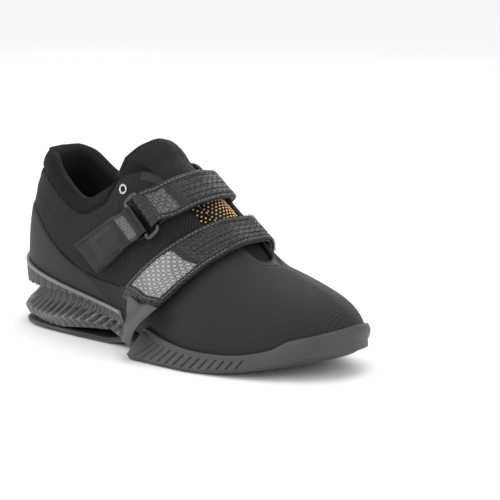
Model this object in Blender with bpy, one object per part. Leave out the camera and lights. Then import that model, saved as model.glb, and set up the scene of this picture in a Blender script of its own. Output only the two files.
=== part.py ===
"""Right-foot weightlifting shoe: raised ribbed heel, cupped rubber sole, low upper, two folded straps.

Metres, +Z up, +X towards the toe, +Y towards the medial side. The origin is under the middle of the
bounding box, on the floor. Every form is worked out from the last: an outline in plan, the height of
the foot bed, and a wall that rises from each point of the outline to the topline or the throat.
"""

import math

import bmesh
import bpy
import numpy as np
from mathutils import Vector

# Driving sizes
SHOE_LENGTH = 0.290
LAST_HEEL_WIDTH = 0.063
LAST_BALL_WIDTH = 0.099
COLLAR_HEIGHT = 0.124
HEEL_BED = 0.030
FORE_BED = 0.0085
TOE_SPRING = 0.015
SPRING_START = 0.67
BED_SPRING = 0.65
CLEARANCE = 0.0004

# Upper
WALL = 0.0026
COLLAR_PAD = 0.0095
LIP_ROUND = 0.26
RAND_STEP = 0.0009
THROAT_SWING = 0.0065
THROAT_WIDTH = 0.030

# Sole cup
BASE_THICKNESS = 0.0035
LIP_HEIGHT = 0.025
LIP_WALL = 0.0026
LIP_BAND = 0.0032
TREAD_LAYER = 0.0024
EDGE_ROLL = 0.0022
TOE_ROLL = 1.8
ARCH_LIFT = 0.0034
GROOVE_WIDTH = 0.0010
GROOVE_DEPTH = 0.0011
GROOVE_PITCH = 0.0066
GROOVE_LEAN = math.radians(42)
GROOVES_PER_SIDE = 13

# Heel frame
RIM_HEIGHT = 0.0570
RIM_FRONT_HEIGHT = 0.024
RIM_WALL = 0.0022
RIM_BAND = 0.0022
FRAME_SHELL = 0.0045
WAIST_INSET = 0.0105
HEEL_FLARE = 0.0130
FIN_LIFT = 0.0055
FIN_DEPTH = 0.0036
BAND_FIN_DEPTH = 0.0013
FIN_SWEEP = 0.075
FINS_PER_SIDE = 10

# Insole and tongue
INSOLE_THICKNESS = 0.004
INSOLE_ROOM = 1.25
TONGUE_THICKNESS = 0.0065
TONGUE_HEIGHT = 0.139
TONGUE_CROWN = 0.0078
TONGUE_ROOM = 0.0016

# Straps, rings and eyelets
STRAP_THICKNESS = 0.0019
STRAP_COLUMNS = 5
STRAP_STEP = 0.0065
STRAP_GAP = 0.0010
UPPER_STRAP_PITCH = math.radians(33)
UPPER_STRAP_CREST = (0.161, 0.108)
UPPER_STRAP_RING = -0.0475
UPPER_STRAP_TIP = 0.048
UPPER_STRAP_ANCHOR = 0.060
UPPER_TAB_LENGTH = 0.056
LOWER_STRAP_PITCH = math.radians(46)
LOWER_STRAP_CREST = (0.197, 0.078)
LOWER_STRAP_RING = 0.041
LOWER_STRAP_TIP = -0.088
LOWER_STRAP_ANCHOR = -0.098
LOOP_TOP = -0.0905
LOOP_FOOT = -0.116
LANE_SPAN = 0.076
LANES = 9
LOWER_TAB_LENGTH = 0.034
TAB_THICKNESS = 0.0016
RING_WIRE = 0.0030
RING_SPAN = 0.0105
RING_END_ROOM = 0.0030
EYELET_RADIUS = 0.0035
EYELET_BORE = 0.0021
EYELET_FLANGE = 0.0010

# Last outline: share of the shoe's length, then lateral and medial half widths as shares of the zone's width
HEEL_PLAN = [
    # along, lateral, medial
    (0.013, 0.270, 0.250),
    (0.041, 0.422, 0.392),
    (0.084, 0.508, 0.468),
    (0.160, 0.552, 0.505),
    (0.255, 0.548, 0.500),
    (0.345, 0.545, 0.488),
]
BALL_PLAN = [
    # along, lateral, medial
    (0.431, 0.378, 0.318),
    (0.517, 0.462, 0.353),
    (0.586, 0.521, 0.402),
    (0.655, 0.542, 0.440),
    (0.724, 0.517, 0.460),
    (0.793, 0.465, 0.458),
    (0.862, 0.380, 0.428),
    (0.915, 0.272, 0.374),
    (0.953, 0.150, 0.292),
    (0.974, 0.020, 0.195),
]
LAST_BACK = 0.0018
LAST_TIP = 0.9810
TIP_SIDE = 0.085

# Wall sections: share along the outline from heel to toe, then the top edge as shares of length, heel width
# and collar height, then the corner that the wall rounds: how far out, how high, how full
SECTIONS = [
    # along, top_x, top_spread, top_height, corner_out, corner_height, fullness
    (0.000, 0.052, 0.000, 1.000, 0.100, 0.640, 0.90),
    (0.060, 0.060, 0.215, 0.997, 0.100, 0.630, 0.90),
    (0.120, 0.096, 0.345, 0.965, 0.100, 0.590, 0.90),
    (0.180, 0.155, 0.415, 0.862, 0.100, 0.530, 0.90),
    (0.255, 0.240, 0.450, 0.765, 0.090, 0.485, 0.90),
    (0.320, 0.318, 0.455, 0.850, 0.065, 0.520, 0.88),
    (0.365, 0.375, 0.440, 0.943, 0.060, 0.550, 0.86),
    (0.405, 0.425, 0.395, 0.965, 0.045, 0.560, 0.86),
    (0.480, 0.503, 0.300, 0.890, 0.015, 0.540, 0.88),
    (0.557, 0.583, 0.238, 0.765, -0.008, 0.475, 0.98),
    (0.632, 0.655, 0.195, 0.645, -0.016, 0.420, 1.10),
    (0.710, 0.700, 0.150, 0.575, -0.016, 0.380, 1.20),
    (0.800, 0.720, 0.085, 0.545, -0.016, 0.360, 1.30),
    (0.900, 0.726, 0.030, 0.540, -0.016, 0.372, 1.50),
    (1.000, 0.728, 0.000, 0.538, -0.016, 0.388, 1.60),
]

# Edge of the outer overlay up each wall: counter at the back, rand at the waist, vamp in front
OVERLAY_EDGE = [
    # along, share up the wall
    (0.000, 0.640),
    (0.120, 0.560),
    (0.180, 0.460),
    (0.255, 0.330),
    (0.330, 0.235),
    (0.380, 0.230),
    (0.430, 0.310),
    (0.500, 0.560),
    (0.560, 0.860),
    (0.620, 0.950),
    (1.000, 0.955),
]

# How far the sole stands out from the last, as shares of the heel width, and where its cup starts
SOLE_MARGIN = [
    # along, lateral, medial
    (0.000, 0.000, 0.000),
    (0.070, -0.022, -0.010),
    (0.180, 0.040, 0.052),
    (0.300, 0.074, 0.074),
    (0.400, 0.070, 0.070),
    (0.480, 0.070, 0.070),
    (0.503, 0.245, 0.100),
    (0.560, 0.160, 0.092),
    (0.620, 0.105, 0.083),
    (0.800, 0.064, 0.070),
    (1.000, 0.020, 0.020),
]
CUP_START = 0.474
CUP_FULL = 0.505

# Top of the sole's lip, as shares of the lip height
LIP_LINE = [
    # along, height
    (0.500, 0.82),
    (0.525, 0.77),
    (0.560, 0.70),
    (0.610, 0.62),
    (0.690, 0.52),
    (0.760, 0.46),
    (0.820, 0.52),
    (0.862, 0.70),
    (0.915, 0.74),
    (1.000, 0.80),
]

# Courses of the straps and the loop, all as shares of the shoe's length: the run from the shoe's middle, where
# minus is the lateral side, how far the band lies ahead of its crest there, its width, and how much higher up the
# side its front edge runs than its rear edge
UPPER_COURSE = [
    # run, ahead, width, skew
    (-0.400, 0.000, 0.104, 0.000),
    (-0.175, -0.010, 0.090, 0.000),
    (-0.090, -0.014, 0.090, 0.000),
    (0.000, -0.018, 0.088, 0.000),
    (0.200, -0.016, 0.086, 0.000),
]
LOWER_COURSE = [
    # run, ahead, width, skew
    (-0.360, -0.043, 0.082, 0.048),
    (-0.303, -0.042, 0.120, 0.048),
    (-0.210, -0.040, 0.109, 0.036),
    (-0.100, -0.037, 0.092, 0.014),
    (0.000, -0.033, 0.080, 0.000),
    (0.140, -0.026, 0.076, 0.000),
    (0.260, -0.020, 0.076, 0.000),
]
LOOP_COURSE = [
    # run, ahead, width, skew
    (-0.400, 0.034, 0.034, 0.000),
    (-0.372, 0.004, 0.052, 0.012),
    (-0.344, -0.014, 0.076, 0.042),
    (-0.312, -0.026, 0.100, 0.048),
]

# Heel frame's band, on the upper's wall: share of the height from foot bed to rim, standing out, gap depth
BAND_PROFILE = [
    # height, share of the rim's wall, gap depth
    (0.88, 0.85, 0.15),
    (0.76, 0.90, 1.00),
    (0.38, 0.96, 1.00),
    (0.00, 1.00, 1.00),
]

# Below the foot bed: share of the height from base to bed, share of the waist's inset, of the heel's flare, gap depth
FOOT_PROFILE = [
    # height, waist, flare, gap depth
    (0.88, 1.00, 0.00, 0.85),
    (0.62, 0.72, 0.42, 1.00),
    (0.38, 0.16, 0.86, 0.85),
    (0.25, 0.02, 1.00, 0.00),
]

WAIST_STEPS = 3
FORE_STEPS = 17
FRAME_FRONT = 0.405
LATERAL = -1
MEDIAL = 1


def smooth_row(xs, ys, at):
    """Values between table rows: a cubic that never overshoots them."""
    xs, ys = np.asarray(xs, float), np.asarray(ys, float)
    at = np.clip(np.asarray(at, float), xs[0], xs[-1])
    gaps = np.diff(xs)
    slopes = np.diff(ys) / gaps
    tangents = np.zeros(len(xs))
    tangents[0], tangents[-1] = slopes[0], slopes[-1]
    same_way = slopes[:-1] * slopes[1:] > 0
    both = np.where(same_way, slopes[:-1] + slopes[1:], 1.0)
    tangents[1:-1] = np.where(same_way, 2 * slopes[:-1] * slopes[1:] / both, 0)
    i = np.clip(np.searchsorted(xs, at, side="right") - 1, 0, len(xs) - 2)
    t = (at - xs[i]) / gaps[i]
    return (
        ys[i] * (1 + 2 * t) * (1 - t) ** 2
        + tangents[i] * gaps[i] * t * (1 - t) ** 2
        + ys[i + 1] * t**2 * (3 - 2 * t)
        - tangents[i + 1] * gaps[i] * t**2 * (1 - t)
    )


def column(rows, index, at):
    return smooth_row([row[0] for row in rows], [row[index] for row in rows], at)


def ease(t):
    t = np.clip(t, 0, 1)
    return t * t * (3 - 2 * t)


def unit(vectors):
    return vectors / np.maximum(np.linalg.norm(vectors, axis=-1, keepdims=True), 1e-12)


def closed_spline(points, per_segment=14):
    """A centripetal Catmull-Rom curve through a closed loop of plan points."""
    points = np.asarray(points, float)
    count = len(points)
    out = []
    for i in range(count):
        p0, p1, p2, p3 = (points[(i + k) % count] for k in (-1, 0, 1, 2))
        t1 = np.linalg.norm(p1 - p0) ** 0.5
        t2 = t1 + np.linalg.norm(p2 - p1) ** 0.5
        t3 = t2 + np.linalg.norm(p3 - p2) ** 0.5
        for t in np.linspace(t1, t2, per_segment, endpoint=False):
            a1 = p0 * (t1 - t) / t1 + p1 * t / t1
            a2 = p1 * (t2 - t) / (t2 - t1) + p2 * (t - t1) / (t2 - t1)
            a3 = p2 * (t3 - t) / (t3 - t2) + p3 * (t - t2) / (t3 - t2)
            b1 = a1 * (t2 - t) / t2 + a2 * t / t2
            b2 = a2 * (t3 - t) / (t3 - t1) + a3 * (t - t1) / (t3 - t1)
            out.append(b1 * (t2 - t) / (t2 - t1) + b2 * (t - t1) / (t2 - t1))
    return np.array(out), per_segment


def last_halves():
    """Lateral and medial halves of the last's outline, each from the back of the heel to the tip."""
    rows = [(a, l * LAST_HEEL_WIDTH, m * LAST_HEEL_WIDTH) for a, l, m in HEEL_PLAN]
    rows += [(a, l * LAST_BALL_WIDTH, m * LAST_BALL_WIDTH) for a, l, m in BALL_PLAN]
    back = [(LAST_BACK * SHOE_LENGTH, 0.0)]
    tip = [(LAST_TIP * SHOE_LENGTH, TIP_SIDE * LAST_BALL_WIDTH)]
    lateral = [(a * SHOE_LENGTH, -l) for a, l, _ in rows]
    medial = [(a * SHOE_LENGTH, m) for a, _, m in rows]
    curve, per = closed_spline(back + lateral + tip + medial[::-1])
    tip_index = (len(rows) + 1) * per
    half_lateral = curve[: tip_index + 1]
    half_medial = np.vstack([curve[tip_index:], curve[:1]])[::-1]
    return {LATERAL: half_lateral, MEDIAL: half_medial}


HALVES = last_halves()
LENGTHS = {
    side: np.concatenate([[0], np.cumsum(np.linalg.norm(np.diff(half, axis=0), axis=1))])
    for side, half in HALVES.items()
}


def outline(side, along):
    """A point of the last's outline in plan, at a share of its length from heel to toe."""
    s = np.asarray(along, float) * LENGTHS[side][-1]
    half = HALVES[side]
    return np.stack([np.interp(s, LENGTHS[side], half[:, k]) for k in (0, 1)], -1)


def outward(side, along):
    """The plan direction out of the last at that point."""
    step = 0.012
    ahead = outline(side, np.minimum(np.asarray(along) + step, 1))
    behind = outline(side, np.maximum(np.asarray(along) - step, 0))
    run = unit(ahead - behind)
    normal = np.stack([-run[..., 1], run[..., 0]], -1) * side
    ends = np.stack([np.sign(np.asarray(along, float) - 0.5), np.zeros_like(run[..., 0])], -1)
    at_end = (np.asarray(along) < 1e-6) | (np.asarray(along) > 1 - 1e-6)
    return np.where(at_end[..., None], ends, normal)


def bed_height(x):
    """Height of the foot bed, which falls from the raised heel to the forefoot and springs at the toe."""
    share = np.asarray(x, float) / SHOE_LENGTH
    fall = ease((share - 0.17) / 0.40)
    return HEEL_BED + (FORE_BED - HEEL_BED) * fall + toe_spring(x) * BED_SPRING


def toe_spring(x):
    share = np.asarray(x, float) / SHOE_LENGTH
    return TOE_SPRING * np.clip((share - SPRING_START) / (1 - SPRING_START), 0, 1) ** 1.5


def ground_line(x):
    """Underside of the sole: flat at heel and ball, lifted at the arch and the toe."""
    share = np.asarray(x, float) / SHOE_LENGTH
    arch = ARCH_LIFT * ease((share - 0.33) / 0.08) * ease((0.50 - share) / 0.04)
    return arch + toe_spring(x)


def wall_point(side, along, up):
    """The upper's outer face: each wall runs from the feather edge, round a corner, to the top edge."""
    along, up = np.broadcast_arrays(np.asarray(along, float), np.asarray(up, float))
    foot = outline(side, along)
    foot_z = bed_height(foot[..., 0]) + CLEARANCE
    out = outward(side, along)
    top_x = column(SECTIONS, 1, along) * SHOE_LENGTH
    swing = THROAT_SWING * ease((top_x / SHOE_LENGTH - 0.4) / 0.3)
    top_y = side * column(SECTIONS, 2, along) * LAST_HEEL_WIDTH + swing
    top_z = column(SECTIONS, 3, along) * COLLAR_HEIGHT
    corner = foot + out * (column(SECTIONS, 4, along) * LAST_HEEL_WIDTH)[..., None]
    corner_z = column(SECTIONS, 5, along) * COLLAR_HEIGHT
    full = column(SECTIONS, 6, along)
    b, c, t = (1 - up) ** 2, 2 * full * up * (1 - up), up**2
    total = b + c + t
    x = (b * foot[..., 0] + c * corner[..., 0] + t * top_x) / total
    y = (b * foot[..., 1] + c * corner[..., 1] + t * top_y) / total
    z = (b * foot_z + c * corner_z + t * top_z) / total
    return np.stack([x, y, z], -1)


def wall_normal(side, along, up):
    along, up = np.broadcast_arrays(np.asarray(along, float), np.asarray(up, float))
    step = 0.004
    low, high = np.clip(along - step, 0, 1), np.clip(along + step, 0, 1)
    run = wall_point(side, high, up) - wall_point(side, low, up)
    rise = wall_point(side, along, np.minimum(up + step, 1)) - wall_point(side, along, np.maximum(up - step, 0))
    normal = unit(np.cross(run, rise)) * -side
    at_end = (along < 1e-6) | (along > 1 - 1e-6)
    middle = unit(normal * np.array([1.0, 0.0, 1.0]))
    return np.where(at_end[..., None], middle, normal)


def wall_at_height(side, along, height):
    """Where the outer face of the wall passes a height: its plan point."""
    steps = np.linspace(0, 1, 81)
    points = []
    for a, h in zip(np.atleast_1d(along), np.atleast_1d(height)):
        rise = wall_point(side, a, steps)
        points.append([np.interp(h, rise[:, 2], rise[:, k]) for k in (0, 1)])
    return np.array(points)


def ring_of(lateral, medial):
    """One closed ring from the two sides, which share their ends at heel and toe."""
    return np.vstack([lateral, medial[-2:0:-1]])


def both_sides(make, along):
    return ring_of(make(LATERAL, along), make(MEDIAL, along))


def settle():
    """Moves everything so that the middle of the whole shoe's box, in plan, is over the origin."""
    spots = np.array([corner.co for part in parts.objects if part.location.length == 0 for corner in part.data.vertices])
    middle = (spots.min(0) + spots.max(0)) / 2
    for thing in (*parts.objects, *cutters.objects):
        thing.location.x -= middle[0]
        thing.location.y -= middle[1]


def new_material(name, color, roughness, metallic=0.0):
    material = bpy.data.materials.new(name)
    material.use_nodes = True
    shader = material.node_tree.nodes["Principled BSDF"]
    shader.inputs["Base Color"].default_value = (*color, 1)
    shader.inputs["Roughness"].default_value = roughness
    shader.inputs["Metallic"].default_value = metallic
    return material


def mesh_object(name, points, faces, material, sharp=40):
    mesh = bpy.data.meshes.new(name)
    built = bmesh.new()
    corners = [built.verts.new(p) for p in points]
    for face in faces:
        if len(set(face)) > 2:
            built.faces.new([corners[i] for i in face])
    bmesh.ops.remove_doubles(built, verts=built.verts, dist=1e-6)
    bmesh.ops.recalc_face_normals(built, faces=built.faces)
    built.to_mesh(mesh)
    built.free()
    mesh.shade_smooth()
    mesh.set_sharp_from_angle(angle=math.radians(sharp))
    mesh.materials.append(material)
    thing = bpy.data.objects.new(name, mesh)
    parts.objects.link(thing)
    return thing


def band_faces(ring_count, size, wrap=False):
    """Quads between neighbouring rings, each ring closed on itself."""
    faces = []
    for r in range(ring_count if wrap else ring_count - 1):
        low, high = r * size, (r + 1) % ring_count * size
        for i in range(size):
            j = (i + 1) % size
            faces.append((low + i, low + j, high + j, high + i))
    return faces


def rung_faces(start, size, front_edge):
    """Closes a ring with strips from its lateral to its medial side. front_edge leaves the front straight."""
    half = size // 2
    faces = [(start, start + 1, start + size - 1)]
    for i in range(1, half if front_edge else half - 1):
        faces.append((start + i, start + i + 1, start + size - i - 1, start + size - i))
    if not front_edge:
        faces.append((start + half - 1, start + half, start + half + 1))
    return faces


def lofted(name, rings, material, front_edge=False, sharp=40):
    size = len(rings[0])
    faces = rung_faces(0, size, front_edge)
    faces += band_faces(len(rings), size)
    faces += rung_faces((len(rings) - 1) * size, size, front_edge)
    return mesh_object(name, np.vstack(rings), faces, material, sharp)


def sole_plan(side, along, inset=0.0):
    margin = column(SOLE_MARGIN, 1 if side == LATERAL else 2, along) * LAST_HEEL_WIDTH
    return outline(side, along) + outward(side, along) * (margin - inset)[..., None]


def stations():
    """Shares along the outline for sole, upper and insole: the heel, the short step where the cup starts, the forefoot."""
    heel = np.linspace(0, CUP_START, 15)
    step = np.linspace(CUP_START, CUP_FULL, WAIST_STEPS + 1)[1:]
    fore = np.linspace(0, 1, FORE_STEPS + 1)[1:]
    fore = CUP_FULL + (1 - CUP_FULL) * (fore + 0.10 * np.sin(math.pi * fore) * fore)
    return np.concatenate([heel, step, fore])


def cup_share(along):
    return ease((along - CUP_START) / (CUP_FULL - CUP_START))


def lip_height(side, along):
    x = outline(side, along)[..., 0]
    full = column(LIP_LINE, 1, along) * LIP_HEIGHT + toe_spring(x)
    share = cup_share(along)
    return BASE_THICKNESS + ground_line(x) * (1 - share) + (full - BASE_THICKNESS) * share


def sole_ring(side, along, inset, low, high_share):
    """One ring of the sole's side: a plan inset, and a height between its underside and its lip."""
    plan = sole_plan(side, along, inset)
    ground = ground_line(plan[..., 0])
    top = lip_height(side, along)
    z = ground + low + (top - ground - low) * high_share
    return np.column_stack([plan, z])


def cup_inner(side, along, height, gap):
    """Plan points just outside the upper at a height, or along the foot bed below it."""
    out = outward(side, along)
    return wall_at_height(side, along, height) + out * gap


def make_outsole(material):
    along = stations()
    share = cup_share(along)

    def ring(inset, low, high_share):
        return both_sides(lambda side, a: sole_ring(side, a, inset, low, high_share), along)

    def cup_ring(gap, rise=1.0):
        def points(side, a):
            bed = bed_height(outline(side, a)[:, 0])
            base = base_height(outline(side, a)[:, 0])
            low = base + (bed - base) * share
            height = low + (lip_height(side, a) - low) * rise
            return np.column_stack([cup_inner(side, a, np.maximum(height, bed + CLEARANCE), gap), height])
        return both_sides(points, along)

    def lip_under(side, a):
        margin = column(SOLE_MARGIN, 1 if side == LATERAL else 2, a) * LAST_HEEL_WIDTH
        inset = np.minimum(0.0035, margin - 2 * CLEARANCE - LIP_WALL)
        outer = sole_plan(side, a, inset)
        top = lip_height(side, a)
        wall = cup_inner(side, a, np.maximum(top, bed_height(outline(side, a)[:, 0])), CLEARANCE + LIP_WALL)
        plan = outer + (wall - outer) * (0.85 * share)[:, None]
        drop = np.where(share > 0.5, LIP_BAND, 0.0004)
        return np.column_stack([plan, top - drop])

    def floor(side, a):
        plan = outline(side, a) + outward(side, a) * CLEARANCE
        bed = bed_height(plan[:, 0])
        base = base_height(plan[:, 0])
        return np.column_stack([plan, base + (bed - base) * share])

    roll = 1 + TOE_ROLL * ease((along - 0.66) / 0.25)
    rings = [
        ring(EDGE_ROLL * roll, 0.0, 0.0),
        ring(EDGE_ROLL * 0.45 * roll, TREAD_LAYER * 0.45, 0.0),
        ring(EDGE_ROLL * 0.40 * roll, TREAD_LAYER, 0.0),
        ring(np.zeros(len(along)), TREAD_LAYER + 0.0003, 0.04),
        both_sides(lip_under, along),
        cup_ring(CLEARANCE + LIP_WALL),
        cup_ring(CLEARANCE),
        cup_ring(CLEARANCE, 0.62),
        cup_ring(CLEARANCE, 0.28),
        both_sides(floor, along),
    ]
    sole = lofted("outsole", rings, material)
    add_cut(sole, "sole_grooves", groove_boxes())
    return sole


def groove_boxes():
    """Slanted slots down the forefoot sidewall, evenly spaced along each side."""
    boxes = []
    for side in (LATERAL, MEDIAL):
        first = CUP_FULL + 0.016
        for k in range(GROOVES_PER_SIDE):
            a = first + k * GROOVE_PITCH / LENGTHS[side][-1]
            top = lip_height(side, np.array([a]))[0] - LIP_BAND - 0.0006
            plan = sole_plan(side, np.array([a]))[0]
            low = ground_line(plan[0]) + TREAD_LAYER + 0.0009
            out = outward(side, a)
            run = np.array([out[1], -out[0]]) * (1 if side == MEDIAL else -1)
            height = top - low
            inner = sole_plan(side, np.array([a]), 0.0030)[0]
            foot = np.array([*plan, low])
            head = np.array([*inner, top])
            head[:2] += run * height * math.tan(GROOVE_LEAN)
            along_slot = head - foot
            width = np.array([*run, 0.0]) * GROOVE_WIDTH / 2
            depth = np.array([*out, 0.25])
            boxes.append((foot, along_slot, width, depth))
    return boxes


def add_cut(thing, name, boxes):
    points, faces = [], []
    for foot, along_slot, width, depth in boxes:
        start = len(points)
        for end in (foot, foot + along_slot):
            for w in (-1, 1):
                for d in (-GROOVE_DEPTH, 0.006):
                    points.append(end + w * width + d * depth)
        quads = ((0, 1, 3, 2), (4, 6, 7, 5), (0, 4, 5, 1), (2, 3, 7, 6), (0, 2, 6, 4), (1, 5, 7, 3))
        faces += [tuple(start + i for i in quad) for quad in quads]
    cutter = mesh_object(name, points, faces, thing.data.materials[0])
    hide_helper(cutter)
    cut = thing.modifiers.new(name, "BOOLEAN")
    cut.operation = "DIFFERENCE"
    cut.object = cutter


def hide_helper(helper):
    parts.objects.unlink(helper)
    cutters.objects.link(helper)
    helper.hide_render = True
    helper.display_type = "WIRE"


def base_height(x):
    return BASE_THICKNESS + ground_line(x)


def rim_height(along):
    return RIM_HEIGHT + (RIM_FRONT_HEIGHT - RIM_HEIGHT) * np.clip(along / FRAME_FRONT, 0, 1) ** 0.70


def fin_stations():
    """Four stations a fin: up its flank, along its crest, down, and along the gap."""
    pitch = 1 / FINS_PER_SIDE
    shares, open_gap = [0.0], [0.0]
    for k in range(FINS_PER_SIDE):
        for offset, gap in ((0.30, 0), (0.40, 1), (0.78, 1), (0.88, 0)):
            shares.append((k + offset) * pitch)
            open_gap.append(gap)
    shares.append(1.0)
    open_gap.append(0.0)
    return np.array(shares), np.array(open_gap, float)


def make_heel_frame(material):
    shares, open_gap = fin_stations()
    along = shares * FRAME_FRONT
    closing = np.where(shares < 1, 1.0, 0.0)

    def open_chain(make):
        return np.vstack([make(LATERAL), make(MEDIAL)[:0:-1]])

    def base_top(plan):
        return base_height(plan[:, 0]) + CLEARANCE

    def rim(gap, drop=0.0, rise=1.0):
        def points(side):
            bed = bed_height(outline(side, along)[:, 0])
            z = bed + ((rim_height(along) - bed) * rise - drop) * closing
            out = outward(side, along) * (CLEARANCE + (gap - CLEARANCE) * closing)[:, None]
            return np.column_stack([wall_at_height(side, along, z) + out, z])
        return open_chain(points)

    def band_ring(height_share, stand_share, gap_share):
        out = CLEARANCE + RIM_WALL * stand_share - BAND_FIN_DEPTH * gap_share * open_gap
        return rim(out, rise=height_share)

    def waist_at(share):
        return WAIST_INSET * (0.20 + 0.80 * ease(share / 0.30)) * (1 - 0.55 * share)

    def lift_at(share):
        return FIN_LIFT * ease((share - 0.42) / 0.45) * ease((1 - share) / 0.10)

    flare = HEEL_FLARE * (1 - ease(shares / 0.42))
    fin_depth = FIN_DEPTH * open_gap * ease(shares / 0.16) * (1 - 0.55 * shares)
    waist, lifted = waist_at(shares), lift_at(shares)
    deep = np.minimum(shares, 1 - 3.5 * FRAME_SHELL / SHOE_LENGTH / FRAME_FRONT)

    def foot_ring(height_share, waist_share, flare_share, gap_share):
        def points(side):
            sweep = FIN_SWEEP * (1 - ease(height_share / 0.8)) * 4 * shares * (1 - shares)
            moved = np.clip(along - sweep * FRAME_FRONT, 0, 1)
            plan = sole_plan(side, moved, waist * waist_share - flare * flare_share + fin_depth * gap_share)
            bottom = base_top(plan) + lifted
            return np.column_stack([plan, bottom + (bed_height(plan[:, 0]) - bottom) * height_share])
        return open_chain(points)

    def base(inset, flare_share, height_share):
        def points(side):
            plan = sole_plan(side, along, inset - flare * flare_share)
            bottom = base_top(plan) + lifted
            return np.column_stack([plan, bottom + (bed_height(plan[:, 0]) - bottom) * height_share])
        return open_chain(points)

    def bed(side):
        plan = outline(side, along) + outward(side, along) * CLEARANCE
        return np.column_stack([plan, bed_height(plan[:, 0])])

    def ceiling(side):
        plan = sole_plan(side, deep * FRAME_FRONT, waist_at(deep) + FIN_DEPTH + FRAME_SHELL)
        bed = bed_height(plan[:, 0])
        return np.column_stack([plan, bed - np.minimum(FRAME_SHELL, 0.5 * (bed - base_top(plan) - lift_at(deep)))])

    def cavity_foot(side):
        plan = sole_plan(side, deep * FRAME_FRONT, np.full(len(along), FRAME_SHELL * 2.6))
        return np.column_stack([plan, base_top(plan) + lift_at(deep)])

    rings = [open_chain(bed), rim(CLEARANCE, rise=0.3), rim(CLEARANCE, rise=0.65), rim(CLEARANCE)]
    rings += [rim(CLEARANCE + RIM_WALL), rim(CLEARANCE + RIM_WALL, RIM_BAND)]
    rings += [band_ring(*row) for row in BAND_PROFILE] + [foot_ring(*row) for row in FOOT_PROFILE]
    rings += [base(0.0, 0.60, 0.13), base(0.0012, 0.0, 0.0)]
    rings += [open_chain(cavity_foot), open_chain(ceiling)]
    return lofted("heel_frame", rings, material, front_edge=True)


def upper_rows(along):
    """Shares up the wall, ring by ring: even rows below the overlay's edge, its step, and rows above."""
    edge = column(OVERLAY_EDGE, 1, along)
    step = 0.0035
    rows = [(edge - step) * k for k in np.linspace(0, 1, 8) ** 0.9]
    proud = [1.0] * len(rows)
    rows.append(edge + step)
    proud.append(0.0)
    for k in (0.2, 0.4, 0.6, 0.8, 1.0):
        rows.append(edge + step + (1 - edge - step) * k)
        proud.append(0.0)
    return rows, proud


def wall_thickness(along, up):
    """Thin at the vamp, and padded round the ankle."""
    padded = ease((0.352 - along) / 0.07) * ease((up - 0.45) / 0.45)
    return WALL + (COLLAR_PAD - WALL) * padded


def inner_face(side, along, up, share=1.0, lift=0.0):
    """A point inside the wall, at a share of its thickness, lifted by another share of it."""
    thickness = wall_thickness(along, up)[..., None]
    face = wall_point(side, along, up) - wall_normal(side, along, up) * thickness * share
    face = face + np.array([0, 0, 1.0]) * thickness * lift
    face[..., 2] = np.maximum(face[..., 2], bed_height(face[..., 0]) + CLEARANCE)
    return face


def make_upper(material):
    along = stations()
    rows, proud = upper_rows(along)

    def outer(row, stands):
        def points(side, a):
            return wall_point(side, a, row) + wall_normal(side, a, row) * RAND_STEP * (stands - 1)
        return both_sides(points, along)

    def inner(row, share=1.0, lift=0.0):
        return both_sides(lambda side, a: inner_face(side, a, row, share, lift), along)

    rings = [outer(row, stands) for row, stands in zip(rows, proud)]
    top = rows[-1]
    rings.append(inner(top, 0.28, LIP_ROUND))
    rings.append(inner(top, 0.72, LIP_ROUND))
    rings += [inner(row) for row in rows[:7:-1]]
    rings += [inner(row) for row in (rows[6], rows[4], rows[2], rows[0])]
    size = len(rings[0])
    faces = band_faces(len(rings), size, wrap=True)
    upper = mesh_object("upper", np.vstack(rings), faces, material)
    for side, name in SIDE_NAMES.items():
        hole = eyelet_hole(side, name)
        cut = upper.modifiers.new("eyelet_" + name, "BOOLEAN")
        cut.operation = "DIFFERENCE"
        cut.object = hole
    return upper


SIDE_NAMES = {LATERAL: "lateral", MEDIAL: "medial"}
EYELET_ALONG = 0.368
EYELET_UP = 0.885


def eyelet_seat(side):
    here = wall_point(side, EYELET_ALONG, EYELET_UP)
    normal = wall_normal(side, EYELET_ALONG, EYELET_UP)
    return here - normal * RAND_STEP, normal


def eyelet_hole(side, name):
    here, normal = eyelet_seat(side)
    mesh = bpy.data.meshes.new("eyelet_hole_" + name)
    built = bmesh.new()
    radius = EYELET_BORE + 0.0010
    bmesh.ops.create_cone(built, cap_ends=True, segments=14, radius1=radius, radius2=radius, depth=0.03)
    built.to_mesh(mesh)
    built.free()
    hole = bpy.data.objects.new("eyelet_hole_" + name, mesh)
    hole.location = here
    hole.rotation_euler = Vector(normal).to_track_quat("Z", "Y").to_euler()
    parts.objects.link(hole)
    hide_helper(hole)
    return hole


def make_eyelet(side, name, material):
    """A turned metal ring with a short barrel down its hole."""
    here, normal = eyelet_seat(side)
    barrel = EYELET_BORE + 0.0006
    profile = [
        (barrel, 0.0002),
        (EYELET_RADIUS, 0.0002),
        (EYELET_RADIUS, 0.0006),
        ((EYELET_RADIUS + EYELET_BORE) / 2, EYELET_FLANGE),
        (EYELET_BORE, 0.0006),
        (EYELET_BORE, -WALL * 0.6),
        (barrel, -WALL * 0.6),
    ]
    steps = 14
    rings = []
    for k in range(steps):
        turn = 2 * math.pi * k / steps
        rings.append(np.array([(r * math.cos(turn), r * math.sin(turn), z) for r, z in profile]))
    faces = band_faces(steps, len(profile), wrap=True)
    eyelet = mesh_object("eyelet_" + name, np.vstack(rings), faces, material, sharp=50)
    eyelet.location = here
    eyelet.rotation_euler = Vector(normal).to_track_quat("Z", "Y").to_euler()
    return eyelet


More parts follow.
